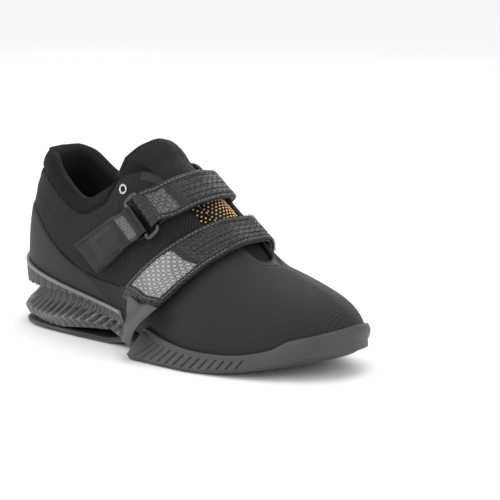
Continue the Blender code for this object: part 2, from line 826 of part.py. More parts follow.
def make_insole(material):
    along = stations()
    gap = WALL * INSOLE_ROOM + CLEARANCE

    def ring(inset, lift):
        def points(side, a):
            bed = bed_height(outline(side, a)[:, 0])
            plan = wall_at_height(side, a, bed + CLEARANCE + lift) - outward(side, a) * (gap + inset)
            return np.column_stack([plan, bed_height(plan[:, 0]) + CLEARANCE + lift])
        return both_sides(points, along)

    top = INSOLE_THICKNESS
    rings = [ring(0.0, 0.0), ring(0.0, top * 0.6), ring(0.0014, top)]
    return lofted("insole", rings, material)


# Tongue stations inside the throat: the walls' stations whose inner faces the tongue lies under
TONGUE_ALONG = np.array([0.425, 0.455, 0.49, 0.53, 0.575, 0.62, 0.66])
TONGUE_WING = [0.84, 0.90, 0.96]


def tongue_rows():
    """Outer face of the tongue, row by row from its front end up: each row runs from lateral to medial."""
    rows = []
    for a in TONGUE_ALONG:
        fade = ease((TONGUE_ALONG[-1] - a) / 0.09)
        sides = {}
        for side in (LATERAL, MEDIAL):
            ups = np.array(TONGUE_WING + [1.0])
            spots = np.full(len(ups), a)
            depth = wall_thickness(spots, ups) + TONGUE_ROOM
            sides[side] = wall_point(side, spots, ups) - wall_normal(side, spots, ups) * depth[:, None]
        left, right = sides[LATERAL][-1], sides[MEDIAL][-1]
        middle = []
        for t in (0.2, 0.4, 0.6, 0.8):
            point = left + (right - left) * t
            point[2] += TONGUE_CROWN * 4 * t * (1 - t) * min(1, (right - left)[1] / THROAT_WIDTH) * fade
            middle.append(point)
        rows.append(np.vstack([sides[LATERAL], middle, sides[MEDIAL][::-1]]))
    rows = rows[::-1]
    front = rows[0].copy()
    front += np.array([0.016, 0, -0.0125])
    front[:, 1] = (front[:, 1] - THROAT_SWING) * 0.92 + THROAT_SWING
    rows = [front] + rows
    last = rows[-1]
    rise = TONGUE_HEIGHT - last[:, 2].max()
    spread = (last[:, 1] - THROAT_SWING) / np.abs(last[:, 1] - THROAT_SWING).max()
    for share, widen, back in ((0.32, 0.80, 0.14), (0.66, 0.88, 0.44), (0.88, 1.00, 0.78), (1.0, 1.06, 1.12)):
        row = last.copy()
        row[:, 0] -= back * rise * (1 + 0.35 * spread**2)
        row[:, 1] = (last[:, 1] - THROAT_SWING) * widen + THROAT_SWING
        row[:, 2] += share * rise * (1 - 0.16 * spread**2)
        rows.append(row)
    return np.array(rows)


def grid_normals(grid):
    run = np.gradient(grid, axis=0)
    across = np.gradient(grid, axis=1)
    normal = unit(np.cross(run, across))
    return normal if normal[..., 2].sum() > 0 else -normal


def make_slab(name, grid, thickness, material, edge=0.5, sharp=40):
    """A padded sheet: the outer grid, and an inner one that thins towards the edges."""
    normals = grid_normals(grid)
    count, across = grid.shape[:2]
    i = np.minimum(np.arange(count), np.arange(count)[::-1])[:, None]
    j = np.minimum(np.arange(across), np.arange(across)[::-1])[None, :]
    fat = np.interp(np.minimum(i, j), [0, 1, 2], [edge, (1 + edge) / 2, 1.0]) * thickness
    under = grid - normals * fat[..., None]
    points = np.vstack([grid.reshape(-1, 3), under.reshape(-1, 3)])
    total = count * across
    faces = []
    for r in range(count - 1):
        for c in range(across - 1):
            a, b = r * across + c, r * across + c + 1
            quad = (a, b, b + across, a + across)
            faces.append(quad)
            faces.append(tuple(total + k for k in quad[::-1]))
    border = [(0, c) for c in range(across)] + [(r, across - 1) for r in range(1, count)]
    border += [(count - 1, c) for c in range(across - 2, -1, -1)] + [(r, 0) for r in range(count - 2, 0, -1)]
    index = [r * across + c for r, c in border]
    for k, a in enumerate(index):
        b = index[(k + 1) % len(index)]
        faces.append((a, b, total + b, total + a))
    return mesh_object(name, points, faces, material, sharp)


def hull_2d(points):
    points = points[np.lexsort((points[:, 1], points[:, 0]))]

    def chain(sequence):
        out = []
        for p in sequence:
            while len(out) > 1:
                a, b = out[-1] - out[-2], p - out[-2]
                if a[0] * b[1] - a[1] * b[0] > 0:
                    break
                out.pop()
            out.append(p)
        return out[:-1]

    return np.array(chain(points) + chain(points[::-1]))


def rounded_hull(points, passes=1):
    """The hull's corners cut evenly, so that a band over it bends smoothly."""
    hull = hull_2d(points)
    lengths = np.r_[0, np.cumsum(np.linalg.norm(np.diff(np.vstack([hull, hull[:1]]), axis=0), axis=1))]
    closed = np.vstack([hull, hull[:1]])
    at = np.arange(0, lengths[-1], 0.0025)
    even = np.stack([np.interp(at, lengths, closed[:, k]) for k in (0, 1)], -1)
    for _ in range(passes):
        even = 0.5 * even + 0.25 * (np.roll(even, 1, axis=0) + np.roll(even, -1, axis=0))
    return even


def section_loop(points):
    """The section's own outline: its widest point on each side at every height, over the top."""
    levels = np.arange(points[:, 1].min() + 0.002, points[:, 1].max(), 0.0025)
    left, right = [], []
    for level in levels:
        here = points[np.abs(points[:, 1] - level) < 0.002]
        left.append((here[:, 0].min(), level))
        right.append((here[:, 0].max(), level))
    loop = np.array(left + right[::-1])
    for _ in range(4):
        loop[1:-1] = 0.5 * loop[1:-1] + 0.25 * (loop[:-2] + loop[2:])
    return loop[::-1]


class Wrap:
    """A band round the shoe, in a plane pitched from the floor. Runs are measured from the shoe's middle."""

    def __init__(self, crest_x, crest_z, pitch, course, forms, taut=True):
        self.taut = taut
        self.course = course
        self.origin = np.array([crest_x, 0.0, crest_z])
        self.up = np.array([math.cos(pitch), 0.0, math.sin(pitch)])
        self.ahead = np.array([math.sin(pitch), 0.0, -math.cos(pitch)])
        self.lanes = np.linspace(-0.5, 0.5, LANES) * LANE_SPAN
        offset = forms - self.origin
        self.forms = np.column_stack([offset @ self.ahead, offset[:, 1], offset @ self.up])
        self.paths = [self.path(lane) for lane in self.lanes]

    def path(self, lane):
        """Plan of one line round the shoe: run from its middle, across and up, and the outward direction."""
        near = self.forms[np.abs(self.forms[:, 0] - lane) < 0.0035][:, 1:]
        loop = rounded_hull(near) if self.taut else section_loop(near)
        if np.sum(loop[:, 0] * np.roll(loop[:, 1], -1) - loop[:, 1] * np.roll(loop[:, 0], -1)) > 0:
            loop = loop[::-1]
        low = loop[:, 1] < loop[:, 1].max() - 0.02
        middle = int(np.argmin(np.abs(loop[:, 0] - THROAT_SWING) + 9 * low))
        if self.taut:
            loop = np.roll(loop, len(loop) // 2 - middle, axis=0)
            middle = len(loop) // 2
        run = np.r_[0, np.cumsum(np.linalg.norm(np.diff(loop, axis=0), axis=1))]
        run -= run[middle]
        tangent = unit(np.gradient(loop, axis=0))
        return run, loop, np.column_stack([-tangent[:, 1], tangent[:, 0]])

    def width(self, run):
        return float(column(self.course, 2, run / SHOE_LENGTH)) * SHOE_LENGTH

    def shifts(self, run):
        """Where the band's lines pass at a run, ahead of the crest."""
        middle = float(column(self.course, 1, run / SHOE_LENGTH)) * SHOE_LENGTH
        return middle + np.linspace(-0.5, 0.5, STRAP_COLUMNS) * self.width(run)

    def flat(self, run, shift):
        """Across and up, and the outward way, between the two lanes next to a shift."""
        lane = np.interp(shift, self.lanes, np.arange(LANES))
        first = min(int(lane), LANES - 2)
        spots, ways = [], []
        for runs, loop, out in self.paths[first:first + 2]:
            spots.append([np.interp(run, runs, loop[:, k]) for k in (0, 1)])
            ways.append([np.interp(run, runs, out[:, k]) for k in (0, 1)])
        share = np.array([1 - (lane - first), lane - first])
        return share @ np.array(spots), unit(share @ np.array(ways))

    def place(self, run, lift):
        """A row across the band at a run: its points, lifted, and its outward directions."""
        points, outs = [], []
        for (here, shift), rise in zip(self.spots(run), np.broadcast_to(lift, STRAP_COLUMNS)):
            spot, way = self.flat(here, shift)
            spot = spot + way * rise
            points.append(self.origin + self.ahead * shift + np.array([0, 1.0, 0]) * spot[0] + self.up * spot[1])
            outs.append(np.array([0, 1.0, 0]) * way[0] + self.up * way[1])
        return np.array(points), np.array(outs)

    def spots(self, run):
        """Run and shift of each of the band's lines at a row."""
        skew = float(column(self.course, 3, run / SHOE_LENGTH)) * SHOE_LENGTH
        return np.column_stack([run + np.linspace(-0.5, 0.5, STRAP_COLUMNS) * skew, self.shifts(run)])

    def chord_room(self, stops):
        """How far each row must stand out so that straight runs between rows clear the path's bends."""
        room = np.zeros((len(stops), STRAP_COLUMNS))
        rows = [self.spots(run) for run in stops]
        for i, (here, there) in enumerate(zip(rows[:-1], rows[1:])):
            for c in range(STRAP_COLUMNS):
                curve = [self.flat(*(here[c] * (1 - t) + there[c] * t)) for t in np.linspace(0, 1, 7)]
                spots, way = np.array([spot for spot, _ in curve]), unit(curve[0][1] + curve[-1][1])
                chord = unit(spots[-1] - spots[0])
                way = unit(way - chord * (way @ chord))
                depth = max(0.0, ((spots - spots[0]) @ way).max())
                room[i, c] = max(room[i, c], depth)
                room[i + 1, c] = max(room[i + 1, c], depth)
        return room

    def ring_seat(self, run):
        """Straight frame for a ring at a run: middle on the forms, its way along, across and out."""
        points, outs = self.place(run, 0.0)
        ahead_points, _ = self.place(run + math.copysign(0.004, run), 0.0)
        across = unit(points[-1] - points[0])
        out = unit(outs.mean(0))
        out = unit(out - across * (out @ across))
        onward = np.cross(across, out)
        if onward @ (ahead_points.mean(0) - points.mean(0)) < 0:
            onward = -onward
        middle = points.mean(0)
        middle = middle + out * np.max((points - middle) @ out)
        return middle, onward, across, out


def stops_of(start, end, offset=0.0):
    """Runs of a band's rows from one end: even steps, the same for every band from that end, and the last."""
    steps = np.arange(offset, abs(end - start) - STRAP_STEP * 0.4, STRAP_STEP)
    return start + np.append(steps, abs(end - start)) * math.copysign(1.0, end - start)


def folded_band(wrap, seat, bar_run, inward_end, tip_end, thickness, width_share=1.0, seat_shift=0.0):
    """Rows of a band that goes out to a bar, round it and back: middle line and outward way of each row."""
    middle, onward, across, out = seat
    toward = onward if seat_shift == 0 else -onward
    turn_radius = RING_WIRE / 2 + CLEARANCE + thickness / 2
    low = STRAP_GAP + STRAP_THICKNESS + CLEARANCE + RING_WIRE / 2 - turn_radius
    bar = middle + onward * seat_shift + out * (low + turn_radius)
    reach = np.linspace(-0.5, 0.5, STRAP_COLUMNS) * wrap.width(bar_run) * width_share
    offsets = across[None, :] * reach[:, None]

    def leg(end, lift, spread):
        """Rows from the bar to the end: straight off the bar, then lying on the forms."""
        stops = stops_of(bar_run, end, abs(seat_shift))
        rows, ways = [], []
        for run, room in zip(stops, wrap.chord_room(stops)):
            away = abs(run - bar_run) - abs(seat_shift)
            gap = spread * (1 - ease(away / 0.015))
            points, outs = wrap.place(run, lift + gap + room)
            centre = points.mean(0)
            points = centre + (points - centre) * width_share
            straight = bar - toward * away + out * (lift + gap - low - turn_radius) + offsets
            hold = 1 - ease((away - 0.002) / 0.012)
            rows.append(points * (1 - hold) + straight * hold)
            ways.append(unit(outs * (1 - hold) + out * hold))
        return rows, ways

    under, under_ways = leg(inward_end, low, 0.0)
    over, over_ways = leg(tip_end, low + thickness + CLEARANCE, 2 * turn_radius - thickness - CLEARANCE)
    rows, ways = under[::-1], under_ways[::-1]
    for k in range(1, 6):
        angle = math.pi * k / 6
        spoke = -out * math.cos(angle) + toward * math.sin(angle)
        rows.append(bar + spoke * turn_radius + offsets)
        ways.append(np.repeat(-spoke[None, :], len(offsets), axis=0))
    return np.array(rows + over), np.array(ways + [-w for w in over_ways])


def band_solid(name, rows, ways, thickness, material):
    """A strip of even thickness along rows of points with their outward ways."""
    count, across = rows.shape[:2]
    outer = rows + ways * (thickness / 2)
    inner = rows - ways * (thickness / 2)
    points = np.concatenate([outer, inner[:, ::-1]], axis=1).reshape(-1, 3)
    size = 2 * across
    faces = band_faces(count, size)
    for start in (0, (count - 1) * size):
        for c in range(across - 1):
            faces.append((start + c, start + c + 1, start + size - 2 - c, start + size - 1 - c))
    return mesh_object(name, points, faces, material, sharp=50)


def make_loop(wrap, bar_run, material):
    """The smooth strip that holds the lower strap's end at the sole, over that strap's last rows."""
    stops = stops_of(bar_run, LOOP_FOOT)
    lift = STRAP_GAP + STRAP_THICKNESS + 2.5 * CLEARANCE + TAB_THICKNESS / 2
    rooms = wrap.chord_room(stops)
    placed = [wrap.place(run, lift + room) for run, room in zip(stops, rooms) if run <= LOOP_TOP]
    rows, ways = np.array([p for p, _ in placed]), np.array([w for _, w in placed])
    return band_solid("strap_loop", rows, ways, TAB_THICKNESS, material)


def make_ring(name, wrap, seat, run, thickness, material):
    """A rectangular wire ring: the strap's bar, the tab's bar, and two short ends."""
    middle, onward, across, out = seat
    centre = middle + out * (STRAP_GAP + CLEARANCE + thickness + RING_WIRE / 2) + onward * RING_SPAN / 2
    half_long = wrap.width(run) / 2 + RING_END_ROOM
    half_wide = RING_SPAN / 2
    radius = RING_WIRE / 2
    corner = 0.0022
    spine = []
    for sx, sy, start in ((1, 1, 0.0), (-1, 1, 0.5), (-1, -1, 1.0), (1, -1, 1.5)):
        for k in range(3):
            angle = math.pi * (start + 0.5 * k / 2)
            x = sx * (half_long - corner) + corner * math.cos(angle)
            y = sy * (half_wide - corner) + corner * math.sin(angle)
            spine.append((x, y, math.cos(angle), math.sin(angle)))
    rings = []
    for x, y, cx, cy in spine:
        away = across * cx + onward * cy
        here = centre + across * x + onward * y
        turn = 2 * math.pi * np.arange(8) / 8 + math.pi / 8
        reach = radius / math.cos(math.pi / 8) * 0.92
        rings.append(here + np.cos(turn)[:, None] * away * reach + np.sin(turn)[:, None] * out * reach)
    faces = band_faces(len(rings), 8, wrap=True)
    return mesh_object(name, np.vstack(rings), faces, material, sharp=50)


def strap_forms():
    """Points of what the straps lie on: both walls and the tongue."""
    along, up = np.meshgrid(np.linspace(0.20, 0.86, 130), np.linspace(0.02, 1, 60))
    walls = [wall_point(side, along.ravel(), up.ravel()) for side in (LATERAL, MEDIAL)]
    edge = np.linspace(0.20, 1, 300)
    tops = np.ones(len(edge))
    walls += [inner_face(side, edge, tops, share, LIP_ROUND) for side in (LATERAL, MEDIAL) for share in (0.28, 0.72)]
    tongue = tongue_rows()
    fine = [tongue.reshape(-1, 3)]
    for t in (0.25, 0.5, 0.75):
        fine.append((tongue[:-1] * (1 - t) + tongue[1:] * t).reshape(-1, 3))
    return np.vstack(walls + fine)


def sole_side():
    along = np.linspace(CUP_START, 0.62, 60)
    rows = []
    for share in np.linspace(0, 1, 9):
        for side in (LATERAL, MEDIAL):
            rows.append(sole_ring(side, along, 0.0, TREAD_LAYER, share))
    return np.vstack(rows)


def frame_side():
    """Points of the heel frame's band near its front end, which the loop lies over."""
    along = np.linspace(0.30, FRAME_FRONT, 24)
    rows = []
    for side in (LATERAL, MEDIAL):
        bed = bed_height(outline(side, along)[:, 0])
        for share in np.linspace(0, 1, 7):
            height = bed + (rim_height(along) - bed) * share
            plan = wall_at_height(side, along, height) + outward(side, along) * (CLEARANCE + RIM_WALL)
            rows.append(np.column_stack([plan, height]))
            plan = sole_plan(side, along)
            rows.append(np.column_stack([plan, base_height(plan[:, 0]) + (bed - base_height(plan[:, 0])) * share * 0.6]))
    return np.vstack(rows)


for old in list(bpy.data.objects):
    bpy.data.objects.remove(old)
parts = bpy.data.collections.new("weightlifting_shoe")
cutters = bpy.data.collections.new("cutters")
for group in (parts, cutters):
    bpy.context.scene.collection.children.link(group)

rubber = new_material("black_rubber", (0.022, 0.022, 0.024), 0.55)
frame_plastic = new_material("gloss_black_plastic", (0.012, 0.012, 0.013), 0.22)
cloth = new_material("black_cloth", (0.03, 0.03, 0.032), 0.8)
lining = new_material("black_lining", (0.04, 0.04, 0.042), 0.9)
webbing = new_material("black_strap", (0.025, 0.025, 0.027), 0.7)
metal = new_material("silver_metal", (0.62, 0.62, 0.6), 0.3, 1.0)

make_outsole(rubber)
make_heel_frame(frame_plastic)
make_upper(cloth)
make_insole(lining)
make_slab("tongue", tongue_rows(), TONGUE_THICKNESS, lining, edge=0.6)

walls = strap_forms()
low_walls = np.vstack([walls, sole_side(), frame_side()])
upper_place = (*UPPER_STRAP_CREST, UPPER_STRAP_PITCH)
lower_place = (*LOWER_STRAP_CREST, LOWER_STRAP_PITCH)
for name, place, course, forms, bar, anchor, tip, tab in (
    ("upper", upper_place, UPPER_COURSE, walls,
     UPPER_STRAP_RING, UPPER_STRAP_ANCHOR, UPPER_STRAP_TIP, UPPER_TAB_LENGTH),
    ("lower", lower_place, LOWER_COURSE, low_walls,
     LOWER_STRAP_RING, LOWER_STRAP_ANCHOR, LOWER_STRAP_TIP, LOWER_TAB_LENGTH),
):
    wrap = Wrap(*place, course, forms)
    skin = Wrap(*place, course, walls, taut=False)
    seat = wrap.ring_seat(bar)
    rows, ways = folded_band(wrap, seat, bar, anchor, tip, STRAP_THICKNESS)
    band_solid("strap_" + name, rows, ways, STRAP_THICKNESS, webbing)
    end = bar + math.copysign(RING_SPAN + tab, bar)
    rows, ways = folded_band(skin, seat, bar, end, end, TAB_THICKNESS, 0.9, RING_SPAN)
    band_solid("tab_" + name, rows, ways, TAB_THICKNESS, webbing)
    make_ring("ring_" + name, wrap, seat, bar, STRAP_THICKNESS, frame_plastic)
make_loop(Wrap(*lower_place, LOOP_COURSE, low_walls), LOWER_STRAP_RING, webbing)
for side, name in SIDE_NAMES.items():
    make_eyelet(side, name, metal)
settle()
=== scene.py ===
import math

import bmesh
import bpy
import numpy as np
from mathutils import Matrix, Vector
from mathutils.bvhtree import BVHTree


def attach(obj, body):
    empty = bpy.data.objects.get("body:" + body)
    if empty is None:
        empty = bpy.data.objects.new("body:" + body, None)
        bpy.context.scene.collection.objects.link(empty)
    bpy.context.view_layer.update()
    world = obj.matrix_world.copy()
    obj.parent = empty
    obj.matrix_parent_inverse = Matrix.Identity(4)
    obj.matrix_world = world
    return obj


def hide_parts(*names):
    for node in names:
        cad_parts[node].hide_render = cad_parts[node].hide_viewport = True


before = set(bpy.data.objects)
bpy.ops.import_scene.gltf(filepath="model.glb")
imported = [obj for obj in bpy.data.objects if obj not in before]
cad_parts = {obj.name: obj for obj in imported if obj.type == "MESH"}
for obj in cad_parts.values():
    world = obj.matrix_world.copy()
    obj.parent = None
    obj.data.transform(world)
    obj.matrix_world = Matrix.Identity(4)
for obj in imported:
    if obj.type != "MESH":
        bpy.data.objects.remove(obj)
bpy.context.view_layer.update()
scene = bpy.context.scene

shoeSizes = {
    "shoeLength": 0.290,
    "lastHeelWidth": 0.063,
    "lastBallWidth": 0.099,
    "collarHeight": 0.124,
    "heelBed": 0.030,
    "foreBed": 0.0085,
    "toeSpring": 0.015,
    "springStart": 0.67,
    "bedSpring": 0.65,
    "clearance": 0.0004,
    "lastBack": 0.0018,
    "lastTip": 0.9810,
    "tipSide": 0.085,
}

upperSizes = {
    "wall": 0.0026,
    "collarPad": 0.0095,
    "lipRound": 0.26,
    "randStep": 0.0009,
    "throatSwing": 0.0065,
    "throatWidth": 0.030,
}

soleSizes = {
    "baseThickness": 0.0035,
    "lipHeight": 0.025,
    "lipWall": 0.0026,
    "lipBand": 0.0032,
    "treadLayer": 0.0024,
    "edgeRoll": 0.0022,
    "toeRoll": 1.8,
    "archLift": 0.0034,
    "groovePitch": 0.0066,
    "grooveLean": math.radians(42),
    "groovesPerSide": 13,
    "cupStart": 0.474,
    "cupFull": 0.505,
}

frameSizes = {
    "rimHeight": 0.0570,
    "rimFrontHeight": 0.024,
    "rimWall": 0.0022,
    "rimBand": 0.0022,
    "frameShell": 0.0045,
    "waistInset": 0.0105,
    "heelFlare": 0.0130,
    "finLift": 0.0055,
    "finDepth": 0.0036,
    "finSweep": 0.075,
    "frameFront": 0.405,
}

tongueSizes = {
    "insoleThickness": 0.004,
    "insoleRoom": 1.25,
    "tongueThickness": 0.0065,
    "tongueHeight": 0.139,
    "tongueCrown": 0.0078,
    "tongueRoom": 0.0016,
}

strapSizes = {
    "strapThickness": 0.0019,
    "strapStep": 0.0014,
    "strapGap": 0.0010,
    "upperPitch": math.radians(33),
    "upperCrest": (0.161, 0.108),
    "upperRing": -0.0475,
    "upperTip": 0.048,
    "upperAnchor": 0.060,
    "upperTab": 0.056,
    "lowerPitch": math.radians(46),
    "lowerCrest": (0.197, 0.078),
    "lowerRing": 0.041,
    "lowerTip": -0.088,
    "lowerAnchor": -0.098,
    "loopTop": -0.0905,
    "loopFoot": -0.116,
    "laneSpan": 0.076,
    "lanes": 9,
    "lowerTab": 0.034,
    "tabThickness": 0.0016,
    "ringWire": 0.0030,
    "ringSpan": 0.0105,
}

shoeLength, clearance = shoeSizes["shoeLength"], shoeSizes["clearance"]
heelWidth, ballWidth = shoeSizes["lastHeelWidth"], shoeSizes["lastBallWidth"]
throatSwing, frameFront = upperSizes["throatSwing"], frameSizes["frameFront"]

# lengths as shares of the shoe's length, widths as shares of the heel or ball width
heelPlan = [
    # along, lateral, medial
    (0.013, 0.270, 0.250),
    (0.041, 0.422, 0.392),
    (0.084, 0.508, 0.468),
    (0.160, 0.552, 0.505),
    (0.255, 0.548, 0.500),
    (0.345, 0.545, 0.488),
]
ballPlan = [
    # along, lateral, medial
    (0.431, 0.378, 0.318),
    (0.517, 0.462, 0.353),
    (0.586, 0.521, 0.402),
    (0.655, 0.542, 0.440),
    (0.724, 0.517, 0.460),
    (0.793, 0.465, 0.458),
    (0.862, 0.380, 0.428),
    (0.915, 0.272, 0.374),
    (0.953, 0.150, 0.292),
    (0.974, 0.020, 0.195),
]
sections = [
    # along, topX, topSpread, topHeight, cornerOut, cornerHeight, fullness
    (0.000, 0.052, 0.000, 1.000, 0.100, 0.640, 0.90),
    (0.060, 0.060, 0.215, 0.997, 0.100, 0.630, 0.90),
    (0.120, 0.096, 0.345, 0.965, 0.100, 0.590, 0.90),
    (0.180, 0.155, 0.415, 0.862, 0.100, 0.530, 0.90),
    (0.255, 0.240, 0.450, 0.765, 0.090, 0.485, 0.90),
    (0.320, 0.318, 0.455, 0.850, 0.065, 0.520, 0.88),
    (0.365, 0.375, 0.440, 0.943, 0.060, 0.550, 0.86),
    (0.405, 0.425, 0.395, 0.965, 0.045, 0.560, 0.86),
    (0.480, 0.503, 0.300, 0.890, 0.015, 0.540, 0.88),
    (0.557, 0.583, 0.238, 0.765, -0.008, 0.475, 0.98),
    (0.632, 0.655, 0.195, 0.645, -0.016, 0.420, 1.10),
    (0.710, 0.700, 0.150, 0.575, -0.016, 0.380, 1.20),
    (0.800, 0.720, 0.085, 0.545, -0.016, 0.360, 1.30),
    (0.900, 0.726, 0.030, 0.540, -0.016, 0.372, 1.50),
    (1.000, 0.728, 0.000, 0.538, -0.016, 0.388, 1.60),
]
overlayEdge = [
    # along, share up the wall
    (0.000, 0.640),
    (0.120, 0.560),
    (0.180, 0.460),
    (0.255, 0.330),
    (0.330, 0.235),
    (0.380, 0.230),
    (0.430, 0.310),
    (0.500, 0.560),
    (0.560, 0.860),
    (0.620, 0.950),
    (1.000, 0.955),
]
soleMargin = [
    # along, lateral, medial
    (0.000, 0.000, 0.000),
    (0.070, -0.022, -0.010),
    (0.180, 0.040, 0.052),
    (0.300, 0.074, 0.074),
    (0.400, 0.070, 0.070),
    (0.480, 0.070, 0.070),
    (0.503, 0.245, 0.100),
    (0.560, 0.160, 0.092),
    (0.620, 0.105, 0.083),
    (0.800, 0.064, 0.070),
    (1.000, 0.020, 0.020),
]
lipLine = [
    # along, height
    (0.500, 0.82),
    (0.525, 0.77),
    (0.560, 0.70),
    (0.610, 0.62),
    (0.690, 0.52),
    (0.760, 0.46),
    (0.820, 0.52),
    (0.862, 0.70),
    (0.915, 0.74),
    (1.000, 0.80),
]
upperCourse = [
    # run, ahead, width, skew
    (-0.400, 0.000, 0.104, 0.000),
    (-0.175, -0.010, 0.090, 0.000),
    (-0.090, -0.014, 0.090, 0.000),
    (0.000, -0.018, 0.088, 0.000),
    (0.200, -0.016, 0.086, 0.000),
]
lowerCourse = [
    # run, ahead, width, skew
    (-0.360, -0.043, 0.082, 0.048),
    (-0.303, -0.042, 0.120, 0.048),
    (-0.210, -0.040, 0.109, 0.036),
    (-0.100, -0.037, 0.092, 0.014),
    (0.000, -0.033, 0.080, 0.000),
    (0.140, -0.026, 0.076, 0.000),
    (0.260, -0.020, 0.076, 0.000),
]
loopCourse = [
    # run, ahead, width, skew
    (-0.400, 0.034, 0.034, 0.000),
    (-0.372, 0.004, 0.052, 0.012),
    (-0.344, -0.014, 0.076, 0.042),
    (-0.312, -0.026, 0.100, 0.048),
]
bandProfile = [
    # height, share of the rim's wall, gap depth
    (0.88, 0.85, 0.15),
    (0.76, 0.90, 1.00),
    (0.38, 0.96, 1.00),
    (0.00, 1.00, 1.00),
]
footProfile = [
    # height, waist, flare, gap depth
    (0.88, 1.00, 0.00, 0.85),
    (0.62, 0.72, 0.42, 1.00),
    (0.38, 0.16, 0.86, 0.85),
    (0.25, 0.02, 1.00, 0.00),
]
outerSide, innerSide = -1, 1


# a smooth curve through a table's values, with no overshoot between them
def smoothRow(xs, ys, at):
    xs, ys = np.asarray(xs, float), np.asarray(ys, float)
    at = np.clip(np.asarray(at, float), xs[0], xs[-1])
    gaps = np.diff(xs)
    slopes = np.diff(ys) / gaps
    tangents = np.zeros(len(xs))
    tangents[0], tangents[-1] = slopes[0], slopes[-1]
    sameWay = slopes[:-1] * slopes[1:] > 0
    total = np.where(sameWay, slopes[:-1] + slopes[1:], 1.0)
    tangents[1:-1] = np.where(sameWay, 2 * slopes[:-1] * slopes[1:] / total, 0)
    i = np.clip(np.searchsorted(xs, at, side="right") - 1, 0, len(xs) - 2)
    t = (at - xs[i]) / gaps[i]
    return (
        ys[i] * (1 + 2 * t) * (1 - t) ** 2
        + tangents[i] * gaps[i] * t * (1 - t) ** 2
        + ys[i + 1] * t**2 * (3 - 2 * t)
        - tangents[i + 1] * gaps[i] * t**2 * (1 - t)
    )


# one column of a table, read at any place along its first column
def column(rows, index, at):
    return smoothRow([row[0] for row in rows], [row[index] for row in rows], at)


def ease(t):
    t = np.clip(t, 0, 1)
    return t * t * (3 - 2 * t)


def unit(vectors):
    return vectors / np.maximum(np.linalg.norm(vectors, axis=-1, keepdims=True), 1e-12)


def runOf(points):
    # how far along its line each point lies, for one line or for a whole grid
    steps = np.linalg.norm(np.diff(points, axis=0), axis=-1)
    return np.concatenate([np.zeros((1, *steps.shape[1:])), np.cumsum(steps, axis=0)])


# a closed curve through the points, even where they lie unevenly
def closedSpline(points, perSegment=14):
    points = np.asarray(points, float)
    count = len(points)
    out = []
    for i in range(count):
        p0, p1, p2, p3 = (points[(i + k) % count] for k in (-1, 0, 1, 2))
        t1 = np.linalg.norm(p1 - p0) ** 0.5
        t2 = t1 + np.linalg.norm(p2 - p1) ** 0.5
        t3 = t2 + np.linalg.norm(p3 - p2) ** 0.5
        for t in np.linspace(t1, t2, perSegment, endpoint=False):
            a1 = p0 * (t1 - t) / t1 + p1 * t / t1
            a2 = p1 * (t2 - t) / (t2 - t1) + p2 * (t - t1) / (t2 - t1)
            a3 = p2 * (t3 - t) / (t3 - t2) + p3 * (t - t2) / (t3 - t2)
            b1 = a1 * (t2 - t) / t2 + a2 * t / t2
            b2 = a2 * (t3 - t) / (t3 - t1) + a3 * (t - t1) / (t3 - t1)
            out.append(b1 * (t2 - t) / (t2 - t1) + b2 * (t - t1) / (t2 - t1))
    return np.array(out), perSegment


# the foot form's plan, from the heel round each side to the toe
def lastHalves():
    rows = [(a, l * heelWidth, m * heelWidth) for a, l, m in heelPlan]
    rows += [(a, l * ballWidth, m * ballWidth) for a, l, m in ballPlan]
    back = [(shoeSizes["lastBack"] * shoeLength, 0.0)]
    tip = [(shoeSizes["lastTip"] * shoeLength, shoeSizes["tipSide"] * ballWidth)]
    lateral = [(a * shoeLength, -l) for a, l, _ in rows]
    medial = [(a * shoeLength, m) for a, _, m in rows]
    curve, per = closedSpline(back + lateral + tip + medial[::-1])
    tipIndex = (len(rows) + 1) * per
    halfLateral = curve[: tipIndex + 1]
    halfMedial = np.vstack([curve[tipIndex:], curve[:1]])[::-1]
    return {outerSide: halfLateral, innerSide: halfMedial}


halfOutlines = lastHalves()
halfLengths = {side: runOf(half) for side, half in halfOutlines.items()}


# a point of the plan, at a share of the way from heel to toe
def outline(side, along):
    s = np.asarray(along, float) * halfLengths[side][-1]
    half = halfOutlines[side]
    return np.stack([np.interp(s, halfLengths[side], half[:, k]) for k in (0, 1)], -1)


# the direction square to the plan and away from the foot
def outward(side, along):
    step = 0.012
    ahead = outline(side, np.minimum(np.asarray(along) + step, 1))
    behind = outline(side, np.maximum(np.asarray(along) - step, 0))
    run = unit(ahead - behind)
    normal = np.stack([-run[..., 1], run[..., 0]], -1) * side
    ends = np.stack([np.sign(np.asarray(along, float) - 0.5), np.zeros_like(run[..., 0])], -1)
    atEnd = (np.asarray(along) < 1e-6) | (np.asarray(along) > 1 - 1e-6)
    return np.where(atEnd[..., None], ends, normal)


# height of the bed that the foot form stands on
def bedHeight(x):
    share = np.asarray(x, float) / shoeLength
    fall = ease((share - 0.17) / 0.40)
    level = shoeSizes["heelBed"] + (shoeSizes["foreBed"] - shoeSizes["heelBed"]) * fall
    return level + toeLift(x) * shoeSizes["bedSpring"]


def toeLift(x):
    share, start = np.asarray(x, float) / shoeLength, shoeSizes["springStart"]
    return shoeSizes["toeSpring"] * np.clip((share - start) / (1 - start), 0, 1) ** 1.5


# height of the underside: flat, with a low arch and the toe spring
def groundLine(x):
    share = np.asarray(x, float) / shoeLength
    arch = soleSizes["archLift"] * ease((share - 0.33) / 0.08) * ease((0.50 - share) / 0.04)
    return arch + toeLift(x)


